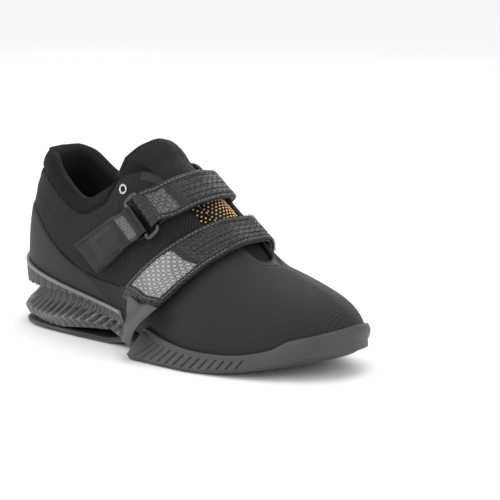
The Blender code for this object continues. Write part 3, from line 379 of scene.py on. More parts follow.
# a point of the upper's outer face: a curved rise from the bed to the top line
def wallPoint(side, along, up):
    along, up = np.broadcast_arrays(np.asarray(along, float), np.asarray(up, float))
    foot = outline(side, along)
    footZ = bedHeight(foot[..., 0]) + clearance
    out = outward(side, along)
    topX = column(sections, 1, along) * shoeLength
    swing = throatSwing * ease((topX / shoeLength - 0.4) / 0.3)
    topY = side * column(sections, 2, along) * heelWidth + swing
    topZ = column(sections, 3, along) * shoeSizes["collarHeight"]
    corner = foot + out * (column(sections, 4, along) * heelWidth)[..., None]
    cornerZ = column(sections, 5, along) * shoeSizes["collarHeight"]
    full = column(sections, 6, along)
    b, c, t = (1 - up) ** 2, 2 * full * up * (1 - up), up**2
    total = b + c + t
    x = (b * foot[..., 0] + c * corner[..., 0] + t * topX) / total
    y = (b * foot[..., 1] + c * corner[..., 1] + t * topY) / total
    z = (b * footZ + c * cornerZ + t * topZ) / total
    return np.stack([x, y, z], -1)


# the upper's outward direction there
def wallNormal(side, along, up):
    along, up = np.broadcast_arrays(np.asarray(along, float), np.asarray(up, float))
    step = 0.004
    low, high = np.clip(along - step, 0, 1), np.clip(along + step, 0, 1)
    run = wallPoint(side, high, up) - wallPoint(side, low, up)
    rise = wallPoint(side, along, np.minimum(up + step, 1)) - wallPoint(side, along, np.maximum(up - step, 0))
    normal = unit(np.cross(run, rise)) * -side
    atEnd = (along < 1e-6) | (along > 1 - 1e-6)
    middle = unit(normal * np.array([1.0, 0.0, 1.0]))
    return np.where(atEnd[..., None], middle, normal)


# plan of the outer face at a height
def wallAtHeight(side, along, height):
    steps = np.linspace(0, 1, 81)
    points = []
    for a, h in zip(np.atleast_1d(along), np.atleast_1d(height)):
        rise = wallPoint(side, a, steps)
        points.append([np.interp(h, rise[:, 2], rise[:, k]) for k in (0, 1)])
    return np.array(points)


def ringOf(lateral, medial):
    return np.vstack([lateral, medial[-2:0:-1]])


def bothSides(make, along):
    return ringOf(make(outerSide, along), make(innerSide, along))


# plan of the sole, with its margin round the foot form
def solePlan(side, along, inset=0.0):
    margin = column(soleMargin, 1 if side == outerSide else 2, along) * heelWidth
    return outline(side, along) + outward(side, along) * (margin - inset)[..., None]


# from 0 on the flat heel base to 1 where the sole cups the upper
def cupShare(along):
    return ease((along - soleSizes["cupStart"]) / (soleSizes["cupFull"] - soleSizes["cupStart"]))


def lipTop(side, along):
    x = outline(side, along)[..., 0]
    full = column(lipLine, 1, along) * soleSizes["lipHeight"] + toeLift(x)
    share = cupShare(along)
    base = soleSizes["baseThickness"]
    return base + groundLine(x) * (1 - share) + (full - base) * share


def soleRing(side, along, inset, low, highShare):
    plan = solePlan(side, along, inset)
    ground = groundLine(plan[..., 0])
    top = lipTop(side, along)
    z = ground + low + (top - ground - low) * highShare
    return np.column_stack([plan, z])


def cupInner(side, along, height, gap):
    out = outward(side, along)
    return wallAtHeight(side, along, height) + out * gap


def baseHeight(x):
    return soleSizes["baseThickness"] + groundLine(x)


# top edge of the heel frame, falling from the heel's back to the waist
def rimTop(along):
    back, front = frameSizes["rimHeight"], frameSizes["rimFrontHeight"]
    return back + (front - back) * np.clip(along / frameFront, 0, 1) ** 0.70


def wallThickness(along, up):
    padded = ease((0.352 - along) / 0.07) * ease((up - 0.45) / 0.45)
    return upperSizes["wall"] + (upperSizes["collarPad"] - upperSizes["wall"]) * padded


# the inner face, with the padding of the collar
def innerFace(side, along, up, share=1.0, lift=0.0):
    thickness = wallThickness(along, up)[..., None]
    face = wallPoint(side, along, up) - wallNormal(side, along, up) * thickness * share
    face = face + np.array([0, 0, 1.0]) * thickness * lift
    face[..., 2] = np.maximum(face[..., 2], bedHeight(face[..., 0]) + clearance)
    return face


tongueAlong = np.array([0.425, 0.455, 0.49, 0.53, 0.575, 0.62, 0.66])
tongueWing = [0.84, 0.90, 0.96]


# rows of points from the vamp up to the top of the tongue
def tongueRows():
    rows = []
    for a in tongueAlong:
        fade = ease((tongueAlong[-1] - a) / 0.09)
        sides = {}
        for side in (outerSide, innerSide):
            ups = np.array(tongueWing + [1.0])
            spots = np.full(len(ups), a)
            depth = wallThickness(spots, ups) + tongueSizes["tongueRoom"]
            sides[side] = wallPoint(side, spots, ups) - wallNormal(side, spots, ups) * depth[:, None]
        left, right = sides[outerSide][-1], sides[innerSide][-1]
        middle = []
        crown = tongueSizes["tongueCrown"] * min(1, (right - left)[1] / upperSizes["throatWidth"]) * fade
        for t in (0.2, 0.4, 0.6, 0.8):
            point = left + (right - left) * t
            point[2] += crown * 4 * t * (1 - t)
            middle.append(point)
        rows.append(np.vstack([sides[outerSide], middle, sides[innerSide][::-1]]))
    rows = rows[::-1]
    front = rows[0].copy()
    front += np.array([0.016, 0, -0.0125])
    front[:, 1] = (front[:, 1] - throatSwing) * 0.92 + throatSwing
    rows = [front] + rows
    last = rows[-1]
    rise = tongueSizes["tongueHeight"] - last[:, 2].max()
    spread = (last[:, 1] - throatSwing) / np.abs(last[:, 1] - throatSwing).max()
    for share, widen, back in ((0.32, 0.80, 0.14), (0.66, 0.88, 0.44), (0.88, 1.00, 0.78), (1.0, 1.06, 1.12)):
        row = last.copy()
        row[:, 0] -= back * rise * (1 + 0.35 * spread**2)
        row[:, 1] = (last[:, 1] - throatSwing) * widen + throatSwing
        row[:, 2] += share * rise * (1 - 0.16 * spread**2)
        rows.append(row)
    return np.array(rows)


def gridNormals(grid):
    run = np.gradient(grid, axis=0)
    across = np.gradient(grid, axis=1)
    normal = unit(np.cross(run, across))
    return normal if normal[..., 2].sum() > 0 else -normal


# the tight outline round flat points
def hullOf(points):
    points = points[np.lexsort((points[:, 1], points[:, 0]))]

    def chain(sequence):
        out = []
        for p in sequence:
            while len(out) > 1:
                a, b = out[-1] - out[-2], p - out[-2]
                if a[0] * b[1] - a[1] * b[0] > 0:
                    break
                out.pop()
            out.append(p)
        return out[:-1]

    return np.array(chain(points) + chain(points[::-1]))


def roundedHull(points, passes=1):
    hull = hullOf(points)
    closed = np.vstack([hull, hull[:1]])
    lengths = runOf(closed)
    at = np.arange(0, lengths[-1], 0.0025)
    even = np.stack([np.interp(at, lengths, closed[:, k]) for k in (0, 1)], -1)
    for _ in range(passes):
        even = 0.5 * even + 0.25 * (np.roll(even, 1, axis=0) + np.roll(even, -1, axis=0))
    return even


# the section's own outline: its widest point on each side at every height, over the top
def sectionLoop(points):
    levels = np.arange(points[:, 1].min() + 0.002, points[:, 1].max(), 0.0025)
    left, right = [], []
    for level in levels:
        here = points[np.abs(points[:, 1] - level) < 0.002]
        left.append((here[:, 0].min(), level))
        right.append((here[:, 0].max(), level))
    loop = np.array(left + right[::-1])
    for _ in range(4):
        loop[1:-1] = 0.5 * loop[1:-1] + 0.25 * (loop[:-2] + loop[2:])
    return loop[::-1]


turnRows = 5  # rows of a band round its ring
strapLines = 0.5 * np.sin(np.linspace(-1, 1, 33) * math.pi / 2) * 0.45 + 0.55 * np.linspace(-0.5, 0.5, 33)


class Wrap:
    # a band round the shoe, in a plane pitched from the floor; runs are measured from the shoe's middle
    def __init__(self, crestX, crestZ, pitch, course, forms, taut=True):
        self.taut = taut
        self.course = course
        self.origin = np.array([crestX, 0.0, crestZ])
        self.up = np.array([math.cos(pitch), 0.0, math.sin(pitch)])
        self.ahead = np.array([math.sin(pitch), 0.0, -math.cos(pitch)])
        self.lanes = np.linspace(-0.5, 0.5, strapSizes["lanes"]) * strapSizes["laneSpan"]
        offset = forms - self.origin
        self.forms = np.column_stack([offset @ self.ahead, offset[:, 1], offset @ self.up])
        self.paths = [self.path(lane) for lane in self.lanes]

    def path(self, lane):
        near = self.forms[np.abs(self.forms[:, 0] - lane) < 0.0035][:, 1:]
        loop = roundedHull(near) if self.taut else sectionLoop(near)
        if np.sum(loop[:, 0] * np.roll(loop[:, 1], -1) - loop[:, 1] * np.roll(loop[:, 0], -1)) > 0:
            loop = loop[::-1]
        low = loop[:, 1] < loop[:, 1].max() - 0.02
        middle = int(np.argmin(np.abs(loop[:, 0] - throatSwing) + 9 * low))
        if self.taut:
            loop = np.roll(loop, len(loop) // 2 - middle, axis=0)
            middle = len(loop) // 2
        run = runOf(loop)
        run -= run[middle]
        tangent = unit(np.gradient(loop, axis=0))
        return run, loop, np.column_stack([-tangent[:, 1], tangent[:, 0]])

    def courseAt(self, index, run):
        return float(column(self.course, index, run / shoeLength)) * shoeLength

    def width(self, run):
        return self.courseAt(2, run)

    def flat(self, run, shift):
        lane = np.interp(shift, self.lanes, np.arange(strapSizes["lanes"]))
        first = min(int(lane), strapSizes["lanes"] - 2)
        spots, ways = [], []
        for runs, loop, out in self.paths[first:first + 2]:
            spots.append([np.interp(run, runs, loop[:, k]) for k in (0, 1)])
            ways.append([np.interp(run, runs, out[:, k]) for k in (0, 1)])
        share = np.array([1 - (lane - first), lane - first])
        return share @ np.array(spots), unit(share @ np.array(ways))

    def place(self, run, lift):
        points, outs, sideways = [], [], np.array([0, 1.0, 0])
        for (here, shift), rise in zip(self.spots(run), np.broadcast_to(lift, len(strapLines))):
            spot, way = self.flat(here, shift)
            spot = spot + way * rise
            points.append(self.origin + self.ahead * shift + sideways * spot[0] + self.up * spot[1])
            outs.append(sideways * way[0] + self.up * way[1])
        return np.array(points), np.array(outs)

    def spots(self, run):
        shifts = self.courseAt(1, run) + strapLines * self.width(run)
        return np.column_stack([run + strapLines * self.courseAt(3, run), shifts])

    def chordRoom(self, stops):
        room = np.zeros((len(stops), len(strapLines)))
        rows = [self.spots(run) for run in stops]
        for i, (here, there) in enumerate(zip(rows[:-1], rows[1:])):
            for c in range(len(strapLines)):
                curve = [self.flat(*(here[c] * (1 - t) + there[c] * t)) for t in np.linspace(0, 1, 7)]
                spots, way = np.array([spot for spot, _ in curve]), unit(curve[0][1] + curve[-1][1])
                chord = unit(spots[-1] - spots[0])
                way = unit(way - chord * (way @ chord))
                depth = max(0.0, ((spots - spots[0]) @ way).max())
                room[i, c] = max(room[i, c], depth)
                room[i + 1, c] = max(room[i + 1, c], depth)
        return room

    def ringSeat(self, run):
        points, outs = self.place(run, 0.0)
        aheadPoints, _ = self.place(run + math.copysign(0.004, run), 0.0)
        across = unit(points[-1] - points[0])
        out = unit(outs.mean(0))
        out = unit(out - across * (out @ across))
        onward = np.cross(across, out)
        if onward @ (aheadPoints.mean(0) - points.mean(0)) < 0:
            onward = -onward
        middle = points.mean(0)
        middle = middle + out * np.max((points - middle) @ out)
        return middle, onward, across, out


# even stops along a band, with both of its ends
def stopsOf(start, end, offset=0.0):
    steps = np.arange(offset, abs(end - start) - strapSizes["strapStep"] * 0.4, strapSizes["strapStep"])
    return start + np.append(steps, abs(end - start)) * math.copysign(1.0, end - start)


# a band with one leg under, a turn round its ring and one leg over
def foldedBand(wrap, seat, barRun, inwardEnd, tipEnd, thickness, widthShare=1.0, seatShift=0.0):
    middle, onward, across, out = seat
    toward = onward if seatShift == 0 else -onward
    wire = strapSizes["ringWire"] / 2
    turnRadius = wire + clearance + thickness / 2
    low = strapSizes["strapGap"] + strapSizes["strapThickness"] + clearance + wire - turnRadius
    bar = middle + onward * seatShift + out * (low + turnRadius)
    reach = strapLines * wrap.width(barRun) * widthShare
    offsets = across[None, :] * reach[:, None]

    def leg(end, lift, spread):
        stops = stopsOf(barRun, end, abs(seatShift))
        rows, ways = [], []
        for run, room in zip(stops, wrap.chordRoom(stops)):
            away = abs(run - barRun) - abs(seatShift)
            gap = spread * (1 - ease(away / 0.015))
            points, outs = wrap.place(run, lift + gap + room)
            centre = points.mean(0)
            points = centre + (points - centre) * widthShare
            straight = bar - toward * away + out * (lift + gap - low - turnRadius) + offsets
            hold = 1 - ease((away - 0.002) / 0.012)
            rows.append(points * (1 - hold) + straight * hold)
            ways.append(unit(outs * (1 - hold) + out * hold))
        return rows, ways

    under, underWays = leg(inwardEnd, low, 0.0)
    over, overWays = leg(tipEnd, low + thickness + clearance, 2 * turnRadius - thickness - clearance)
    rows, ways = under[::-1], underWays[::-1]
    for k in range(1, turnRows + 1):
        angle = math.pi * k / (turnRows + 1)
        spoke = -out * math.cos(angle) + toward * math.sin(angle)
        rows.append(bar + spoke * turnRadius + offsets)
        ways.append(np.repeat(-spoke[None, :], len(offsets), axis=0))
    return np.array(rows + over), np.array(ways + [-w for w in overWays])


# what the straps lie on: the upper with its lip, and the tongue
def strapForms():
    along, up = np.meshgrid(np.linspace(0.20, 0.86, 130), np.linspace(0.02, 1, 60))
    walls = [wallPoint(side, along.ravel(), up.ravel()) for side in (outerSide, innerSide)]
    edge = np.linspace(0.20, 1, 300)
    tops = np.ones(len(edge))
    for side in (outerSide, innerSide):
        walls += [innerFace(side, edge, tops, share, upperSizes["lipRound"]) for share in (0.28, 0.72)]
    tongue = tongueRows()
    fine = [tongue.reshape(-1, 3)]
    for t in (0.25, 0.5, 0.75):
        fine.append((tongue[:-1] * (1 - t) + tongue[1:] * t).reshape(-1, 3))
    return np.vstack(walls + fine)


def soleSide():
    along = np.linspace(soleSizes["cupStart"], 0.62, 60)
    rows = []
    for share in np.linspace(0, 1, 9):
        for side in (outerSide, innerSide):
            rows.append(soleRing(side, along, 0.0, soleSizes["treadLayer"], share))
    return np.vstack(rows)


def frameSide():
    along = np.linspace(0.30, frameFront, 24)
    stand = clearance + frameSizes["rimWall"]
    rows = []
    for side in (outerSide, innerSide):
        bed = bedHeight(outline(side, along)[:, 0])
        for share in np.linspace(0, 1, 7):
            height = bed + (rimTop(along) - bed) * share
            plan = wallAtHeight(side, along, height) + outward(side, along) * stand
            rows.append(np.column_stack([plan, height]))
            plan = solePlan(side, along)
            base = baseHeight(plan[:, 0])
            rows.append(np.column_stack([plan, base + (bed - base) * share * 0.6]))
    return np.vstack(rows)


homeShift = np.array([-0.136657, 0.008362, 0.0])  # from the heel's back to the middle of the shoe's box


def addPiece(name, points, faces, materials, uvs=None, slots=None, sharp=40, stands=()):
    mesh = bpy.data.meshes.new(name)
    mesh.from_pydata((np.asarray(points) + homeShift).tolist(), [], faces)
    if uvs is not None:
        corners = np.empty(len(mesh.loops), dtype=np.int32)
        mesh.loops.foreach_get("vertex_index", corners)
        layer = mesh.uv_layers.new(name="metres")
        layer.data.foreach_set("uv", np.asarray(uvs, float)[corners].ravel())
    for material in materials:
        mesh.materials.append(material)
    if slots is not None:
        mesh.polygons.foreach_set("material_index", np.asarray(slots, dtype=np.int32))
    built = bmesh.new()
    built.from_mesh(mesh)
    bmesh.ops.remove_doubles(built, verts=built.verts, dist=1e-6)
    bmesh.ops.recalc_face_normals(built, faces=built.faces)
    built.to_mesh(mesh)
    built.free()
    mesh.shade_smooth()
    mesh.set_sharp_from_angle(angle=math.radians(sharp))
    piece = bpy.data.objects.new(name, mesh)
    scene.collection.objects.link(piece)
    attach(piece, "root")
    if stands:
        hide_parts(*stands)
    return piece


# quads between rings of equal size
def ringFaces(count, size, wrap=False):
    faces = []
    for r in range(count if wrap else count - 1):
        low, high = r * size, (r + 1) % count * size
        for i in range(size):
            j = (i + 1) % size
            faces.append((low + i, low + j, high + j, high + i))
    return faces


# a flat lid across a ring, from side to side
def rungFaces(start, size, frontEdge=False):
    half = size // 2
    faces = [(start, start + 1, start + size - 1)]
    for i in range(1, half if frontEdge else half - 1):
        faces.append((start + i, start + i + 1, start + size - i - 1, start + size - i))
    if not frontEdge:
        faces.append((start + half - 1, start + half, start + half + 1))
    return faces


# quads round a short tube, which stitches and beads are made of
def tubeFaces(start, turns, rings):
    faces = []
    for r in range(rings - 1):
        for k in range(turns):
            low, j = start + r * turns, (k + 1) % turns
            faces.append((low + k, low + j, low + turns + j, low + turns + k))
    return faces


print("finishes")


# a plain finish, its tree and its shader
def newFinish(name, colour, roughness, **extra):
    material = bpy.data.materials.new(name)
    material.use_nodes = True
    tree = material.node_tree
    shader = tree.nodes["Principled BSDF"]
    shader.inputs["Base Color"].default_value = (*colour, 1)
    shader.inputs["Roughness"].default_value = roughness
    for key, value in extra.items():
        shader.inputs[key.replace("_", " ")].default_value = value
    return material, tree, shader


def plug(tree, socket, value):
    if isinstance(value, bpy.types.NodeSocket):
        tree.links.new(value, socket)
    else:
        socket.default_value = value


def step(tree, operation, *values):
    node = tree.nodes.new("ShaderNodeMath")
    node.operation = operation
    for socket, value in zip(node.inputs, values):
        plug(tree, socket, value)
    return node.outputs[0]


def lay(tree, source="UV"):
    # metres along and across the piece, or the shoe's own metres
    place = tree.nodes.new("ShaderNodeTexCoord")
    split = tree.nodes.new("ShaderNodeSeparateXYZ")
    tree.links.new(place.outputs[source], split.inputs[0])
    return split.outputs


# rises and falls once between whole numbers
def swell(tree, value):
    return step(tree, "ABSOLUTE", step(tree, "SINE", step(tree, "MULTIPLY", value, math.pi)))


def threads(tree, a, b, pitch, lean):
    # even threads, 0 in the gaps and 1 on the crests
    first = step(tree, "MULTIPLY", a, math.cos(lean) / pitch)
    return swell(tree, step(tree, "ADD", first, step(tree, "MULTIPLY", b, math.sin(lean) / pitch)))


def basket(tree, a, b, pitch):
    # over-and-under weave: which thread is on top, and how it is rounded
    u, v = step(tree, "DIVIDE", a, pitch), step(tree, "DIVIDE", b, pitch)
    square = step(tree, "PINGPONG", step(tree, "ADD", step(tree, "FLOOR", u), step(tree, "FLOOR", v)), 1.0)
    warp = step(tree, "MULTIPLY", swell(tree, u), square)
    weft = step(tree, "MULTIPLY", swell(tree, v), step(tree, "SUBTRACT", 1.0, square))
    return step(tree, "ADD", warp, weft), square


def pattern(tree, kind, scale):
    node = tree.nodes.new(kind)
    node.inputs["Scale"].default_value = scale
    place = tree.nodes.new("ShaderNodeTexCoord")
    tree.links.new(place.outputs["Object"], node.inputs["Vector"])
    return node


def grain(tree, scale, detail=3.0):
    noise = pattern(tree, "ShaderNodeTexNoise", scale)
    noise.inputs["Detail"].default_value = detail
    return noise.outputs["Fac"]


def raiseBy(tree, shader, height, depth, strength=1.0):
    bump = tree.nodes.new("ShaderNodeBump")
    bump.inputs["Distance"].default_value = depth
    bump.inputs["Strength"].default_value = strength
    tree.links.new(height, bump.inputs["Height"])
    for link in list(tree.links):
        if link.to_node == shader and link.to_socket.name == "Normal":
            tree.links.new(link.from_socket, bump.inputs["Normal"])
    tree.links.new(bump.outputs[0], shader.inputs["Normal"])


def tint(tree, shader, amount, dark, light, name="Base Color"):
    ramp = tree.nodes.new("ShaderNodeMapRange")
    tree.links.new(amount, ramp.inputs["Value"])
    if name != "Base Color":
        ramp.inputs["To Min"].default_value, ramp.inputs["To Max"].default_value = dark, light
        tree.links.new(ramp.outputs[0], shader.inputs[name])
        return
    mix = tree.nodes.new("ShaderNodeMix")
    mix.data_type = "RGBA"
    mix.inputs[6].default_value, mix.inputs[7].default_value = (*dark, 1), (*light, 1)
    tree.links.new(ramp.outputs[0], mix.inputs[0])
    tree.links.new(mix.outputs[2], shader.inputs["Base Color"])


def shade(colour, level):
    return tuple(min(1, c * level) for c in colour)


def both(tree, a, b, share=0.5):
    return step(tree, "ADD", step(tree, "MULTIPLY", a, 1 - share), step(tree, "MULTIPLY", b, share))


cloths = {
    "ribPitch": 0.0021, "ripPitch": 0.0019, "collarPitch": 0.0011, "liningPitch": 0.0013,
    "tonguePitch": 0.0012, "insolePitch": 0.0015, "beadMeshPitch": 0.0018,
    "strapPitch": 0.0026, "brightPitch": 0.0024, "darkPitch": 0.0026,
}


def counterFinish():
    material, tree, shader = newFinish("counter_leather", (0.026, 0.025, 0.024), 0.5, Specular_IOR_Level=0.28)
    raiseBy(tree, shader, pattern(tree, "ShaderNodeTexVoronoi", 1300).outputs["Distance"], 0.00012, 0.6)
    raiseBy(tree, shader, grain(tree, 60, 4), 0.0009, 0.35)
    cloud = grain(tree, 38, 5)
    tint(tree, shader, cloud, (0.010, 0.0098, 0.0095), (0.024, 0.0235, 0.0225))
    tint(tree, shader, cloud, 0.40, 0.62, "Roughness")
    return material


def ribFinish():
    material, tree, shader = newFinish("ribbed_mesh", (0.02, 0.02, 0.02), 0.7,
                                       Specular_IOR_Level=0.2, Sheen_Weight=0.02)
    u, v, _ = lay(tree)
    ribs = threads(tree, u, v, cloths["ribPitch"], 0.42)
    fine = threads(tree, u, v, cloths["ribPitch"] * 0.45, math.radians(95))
    cells = step(tree, "MULTIPLY", ribs, step(tree, "ADD", step(tree, "MULTIPLY", fine, 0.45), 0.55))
    raiseBy(tree, shader, cells, 0.0006, 0.9)
    cloud = both(tree, cells, grain(tree, 240, 2), 0.3)
    tint(tree, shader, cloud, (0.001, 0.001, 0.001), (0.026, 0.026, 0.0265))
    return material


def ripstopFinish():
    material, tree, shader = newFinish("ripstop", (0.02, 0.02, 0.02), 0.55,
                                       Specular_IOR_Level=0.22, Sheen_Weight=0.03)
    u, v, _ = lay(tree)
    x, y, z = lay(tree, "Object")
    longways = step(tree, "POWER", threads(tree, x, y, cloths["ripPitch"], 0.0), 4.0)
    around = step(tree, "POWER", threads(tree, v, u, cloths["ripPitch"], 0.0), 4.0)
    grid = step(tree, "MAXIMUM", longways, around)
    raiseBy(tree, shader, grid, 0.00020, 0.6)
    raiseBy(tree, shader, grain(tree, 1800, 2), 0.00012, 0.5)
    cloud = both(tree, grid, grain(tree, 30, 3), 0.35)
    tint(tree, shader, cloud, (0.004, 0.004, 0.0041), (0.024, 0.024, 0.0245))
    tint(tree, shader, grain(tree, 26, 3), 0.5, 0.66, "Roughness")
    return material


def knitFinish(name, colour, pitch, roughness=0.85):
    material, tree, shader = newFinish(name, colour, roughness, Specular_IOR_Level=0.15, Sheen_Weight=0.02)
    x, y, z = lay(tree, "Object")
    one = threads(tree, x, z, pitch, 0.9)
    other = threads(tree, y, z, pitch, -0.9)
    knit = step(tree, "MULTIPLY", one, other)
    raiseBy(tree, shader, knit, 0.0003, 0.7)
    tint(tree, shader, both(tree, knit, grain(tree, 45, 4), 0.5), shade(colour, 0.25), shade(colour, 0.9))
    return material


def carbonFinish(name, bright, pitch):
    material, tree, shader = newFinish(name, (0.06, 0.06, 0.06), 0.28, Coat_Weight=0.6, Coat_Roughness=0.14)
    u, v, _ = lay(tree)
    height, square = basket(tree, u, v, pitch)
    raiseBy(tree, shader, height, 0.0009, 1.0)
    # painted sheen: the weave pattern is the cloth's own, but the threads lying on top and their crests are
    # coloured lighter in place of the light they throw back; bright scales this along with the tone
    paintedSheen = both(tree, height, square, 0.45)
    low, high = 0.008 * bright, 0.36 * bright
    tint(tree, shader, paintedSheen, (low, low, low * 1.02), (high, high, high * 1.01))
    tint(tree, shader, grain(tree, 90, 3), 0.22, 0.42, "Roughness")
    return material


def strapFinish():
    material, tree, shader = newFinish("strap_leather", (0.022, 0.022, 0.022), 0.34, Specular_IOR_Level=0.4)
    u, v, _ = lay(tree)
    cells, _ = basket(tree, u, v, cloths["strapPitch"])
    raiseBy(tree, shader, cells, 0.0005, 0.7)
    raiseBy(tree, shader, grain(tree, 150, 3), 0.0004, 0.35)
    cloud = both(tree, cells, grain(tree, 70, 4), 0.5)
    tint(tree, shader, cloud, (0.0004, 0.0004, 0.0004), (0.013, 0.013, 0.0133))
    tint(tree, shader, grain(tree, 55, 4), 0.22, 0.5, "Roughness")
    return material


def smoothLeather(name, colour, roughness):
    material, tree, shader = newFinish(name, colour, roughness, Specular_IOR_Level=0.32)
    raiseBy(tree, shader, grain(tree, 900, 3), 0.00012, 0.5)
    raiseBy(tree, shader, grain(tree, 70, 4), 0.0006, 0.4)
    cloud = grain(tree, 50, 5)
    tint(tree, shader, cloud, shade(colour, 0.5), shade(colour, 1.15))
    tint(tree, shader, cloud, roughness - 0.1, roughness + 0.12, "Roughness")
    return material


def rubberFinish():
    material, tree, shader = newFinish("satin_rubber", (0.045, 0.045, 0.046), 0.5, Specular_IOR_Level=0.42)
    raiseBy(tree, shader, grain(tree, 1500, 2), 0.00010, 0.5)
    raiseBy(tree, shader, grain(tree, 120, 4), 0.0003, 0.3)
    x, y, z = lay(tree, "Object")
    cloud = grain(tree, 40, 5)
    # a mottle that is paler towards the bottom of the sole
    palerLowMottle = step(tree, "MULTIPLY", cloud, step(tree, "SUBTRACT", 1.15, step(tree, "MULTIPLY", z, 6.0)))
    tint(tree, shader, palerLowMottle, (0.030, 0.030, 0.031), (0.070, 0.069, 0.068))
    tint(tree, shader, cloud, 0.42, 0.62, "Roughness")
    return material


def glossFinish(name, level):
    colour = shade((0.012, 0.012, 0.0125), level)
    material, tree, shader = newFinish(name, colour, 0.2, Coat_Weight=0.5, Coat_Roughness=0.08)
    raiseBy(tree, shader, grain(tree, 260, 3), 0.00025, 0.3)
    cloud = grain(tree, 80, 5)
    tint(tree, shader, cloud, (0.004 * level,) * 3, (0.014 * level,) * 3)
    tint(tree, shader, cloud, 0.14, 0.34, "Roughness")
    return material


def metalFinish(name, colour, roughness):
    material, tree, shader = newFinish(name, colour, roughness, Metallic=1.0)
    scratch = grain(tree, 900, 4)
    raiseBy(tree, shader, scratch, 0.00006, 0.5)
    tint(tree, shader, scratch, shade(colour, 0.75), shade(colour, 1.2))
    tint(tree, shader, scratch, roughness - 0.08, roughness + 0.12, "Roughness")
    return material


counterLeather, ribMesh, ripstop = counterFinish(), ribFinish(), ripstopFinish()
collarCloth = knitFinish("collar_textile", (0.016, 0.016, 0.0165), cloths["collarPitch"])
liningCloth = knitFinish("lining_textile", (0.022, 0.022, 0.023), cloths["liningPitch"])
tongueCloth = knitFinish("tongue_textile", (0.021, 0.021, 0.0215), cloths["tonguePitch"], 0.7)
insoleCloth = knitFinish("insole_textile", (0.03, 0.03, 0.031), cloths["insolePitch"])
beadMesh = knitFinish("bead_mesh", (0.008, 0.008, 0.008), cloths["beadMeshPitch"])
facingCloth = smoothLeather("facing_textile", (0.022, 0.022, 0.0225), 0.55)
carbonBright = carbonFinish("carbon_weave", 1.0, cloths["brightPitch"])
carbonDark = carbonFinish("carbon_weave_dark", 0.2, cloths["darkPitch"])
strapLeather = strapFinish()
loopLeather = smoothLeather("loop_leather", (0.075, 0.075, 0.076), 0.42)
tabLeather = smoothLeather("tab_leather", (0.008, 0.008, 0.0082), 0.32)
# painted highlight: the heel frame's rim is coloured pale to stand in for the light along its top edge
rimPaintedHighlight = smoothLeather("rim_painted_highlight", (0.22, 0.22, 0.217), 0.3)
threadPale = smoothLeather("pale_thread", (0.22, 0.22, 0.215), 0.5)
threadDark = smoothLeather("dark_thread", (0.012, 0.012, 0.012), 0.5)
# the crest finish is the black gloss moulding made six times paler: a lit copy that paints the highlight on
# the fin crests
rubber, gloss, finCrestHighlight = rubberFinish(), glossFinish("gloss_moulding", 1.0), glossFinish("fin_crest_painted_highlight", 6.0)
steel = metalFinish("bright_steel", (0.55, 0.55, 0.54), 0.25)
gunmetal = metalFinish("gunmetal", (0.10, 0.10, 0.105), 0.28)
beadGold = metalFinish("gold_bead", (0.83, 0.55, 0.24), 0.3)


print("upper")
upperPiece = {
    "counterSeam": 0.0011, "overlaySeam": 0.0006, "collarSeam": 0.0010, "collarBulge": 0.0011,
    "collarLine": 0.865, "facingLine": 0.955, "facingFrom": 0.40, "vampFrom": 0.565,
    "beadSpan": (0.49, 0.585), "beadLine": 0.93, "wrinkle": 0.00045, "ripple": 0.0004,
    "stations": 250, "lowRows": 52, "stepRows": 3, "highRows": 40, "innerRows": 26,
}
counterEdge = [
    # along, share up the wall
    (0.000, 0.640), (0.120, 0.560), (0.180, 0.460), (0.255, 0.330),
    (0.315, 0.200), (0.365, 0.060), (0.390, 0.000), (1.000, 0.000),
]


def waves(points, size, seed):
    # a soft even unrest of the cloth, the same on each run
    rng = np.random.default_rng(seed)
    total = np.zeros(points.shape[:-1])
    for _ in range(7):
        way = rng.normal(size=3)
        way *= 2 * math.pi / size / np.linalg.norm(way) * rng.uniform(0.6, 1.5)
        total += np.sin(points @ way + rng.uniform(0, 6.3))
    return total / 7


def collarFrom(along):
    return upperPiece["collarLine"] + (1.02 - upperPiece["collarLine"]) * ease((along - 0.315) / 0.045)


def bell(x, width):
    return np.exp(-(x / width) ** 2)


def upperOffset(side, along, up):
    edge = column(overlayEdge, 1, along)
    counter = column(counterEdge, 1, along)
    out = -upperSizes["randStep"] * ease((up - edge + 0.004) / 0.010)
    out -= upperPiece["counterSeam"] * bell(up - counter, 0.011) * ease((0.39 - along) / 0.03)
    out -= upperPiece["overlaySeam"] * bell(up - edge - 0.012, 0.006)
    collar = collarFrom(along)
    inside = ease((up - collar) / 0.03)
    roll = np.clip((up - collar) / np.maximum(1 - collar, 0.02), 0, 1)
    out += inside * upperPiece["collarBulge"] * np.sin(math.pi * roll) ** 0.7 * (collar < 1)
    out -= upperPiece["collarSeam"] * bell(up - collar, 0.010) * (along < 0.35)
    points = wallPoint(side, along, up)
    vamp = ease((along - 0.44) / 0.05)
    long = waves(points, 0.030, 4) * (0.5 + 0.5 * vamp) * ease(up / 0.2) * ease((0.985 - up) / 0.06)
    short = waves(points, 0.013, 9) * (1 - vamp) * ease((up - edge) / 0.1) * ease((collar - up) / 0.05)
    return out + upperPiece["wrinkle"] * long + upperPiece["ripple"] * short


def upperSlots(along, row, edge):
    # 0 counter, 1 rib, 2 collar, 3 ripstop, 4 facing, and 5 lining and 6 bead mesh set later
    low = np.where(row < column(counterEdge, 1, along), 0, 3)
    facing = (along > upperPiece["facingFrom"]) & (row > upperPiece["facingLine"])
    facing = facing | (along > upperPiece["vampFrom"])
    return np.where(row > collarFrom(along), 2, np.where(row > edge, np.where(facing, 4, 1), low))


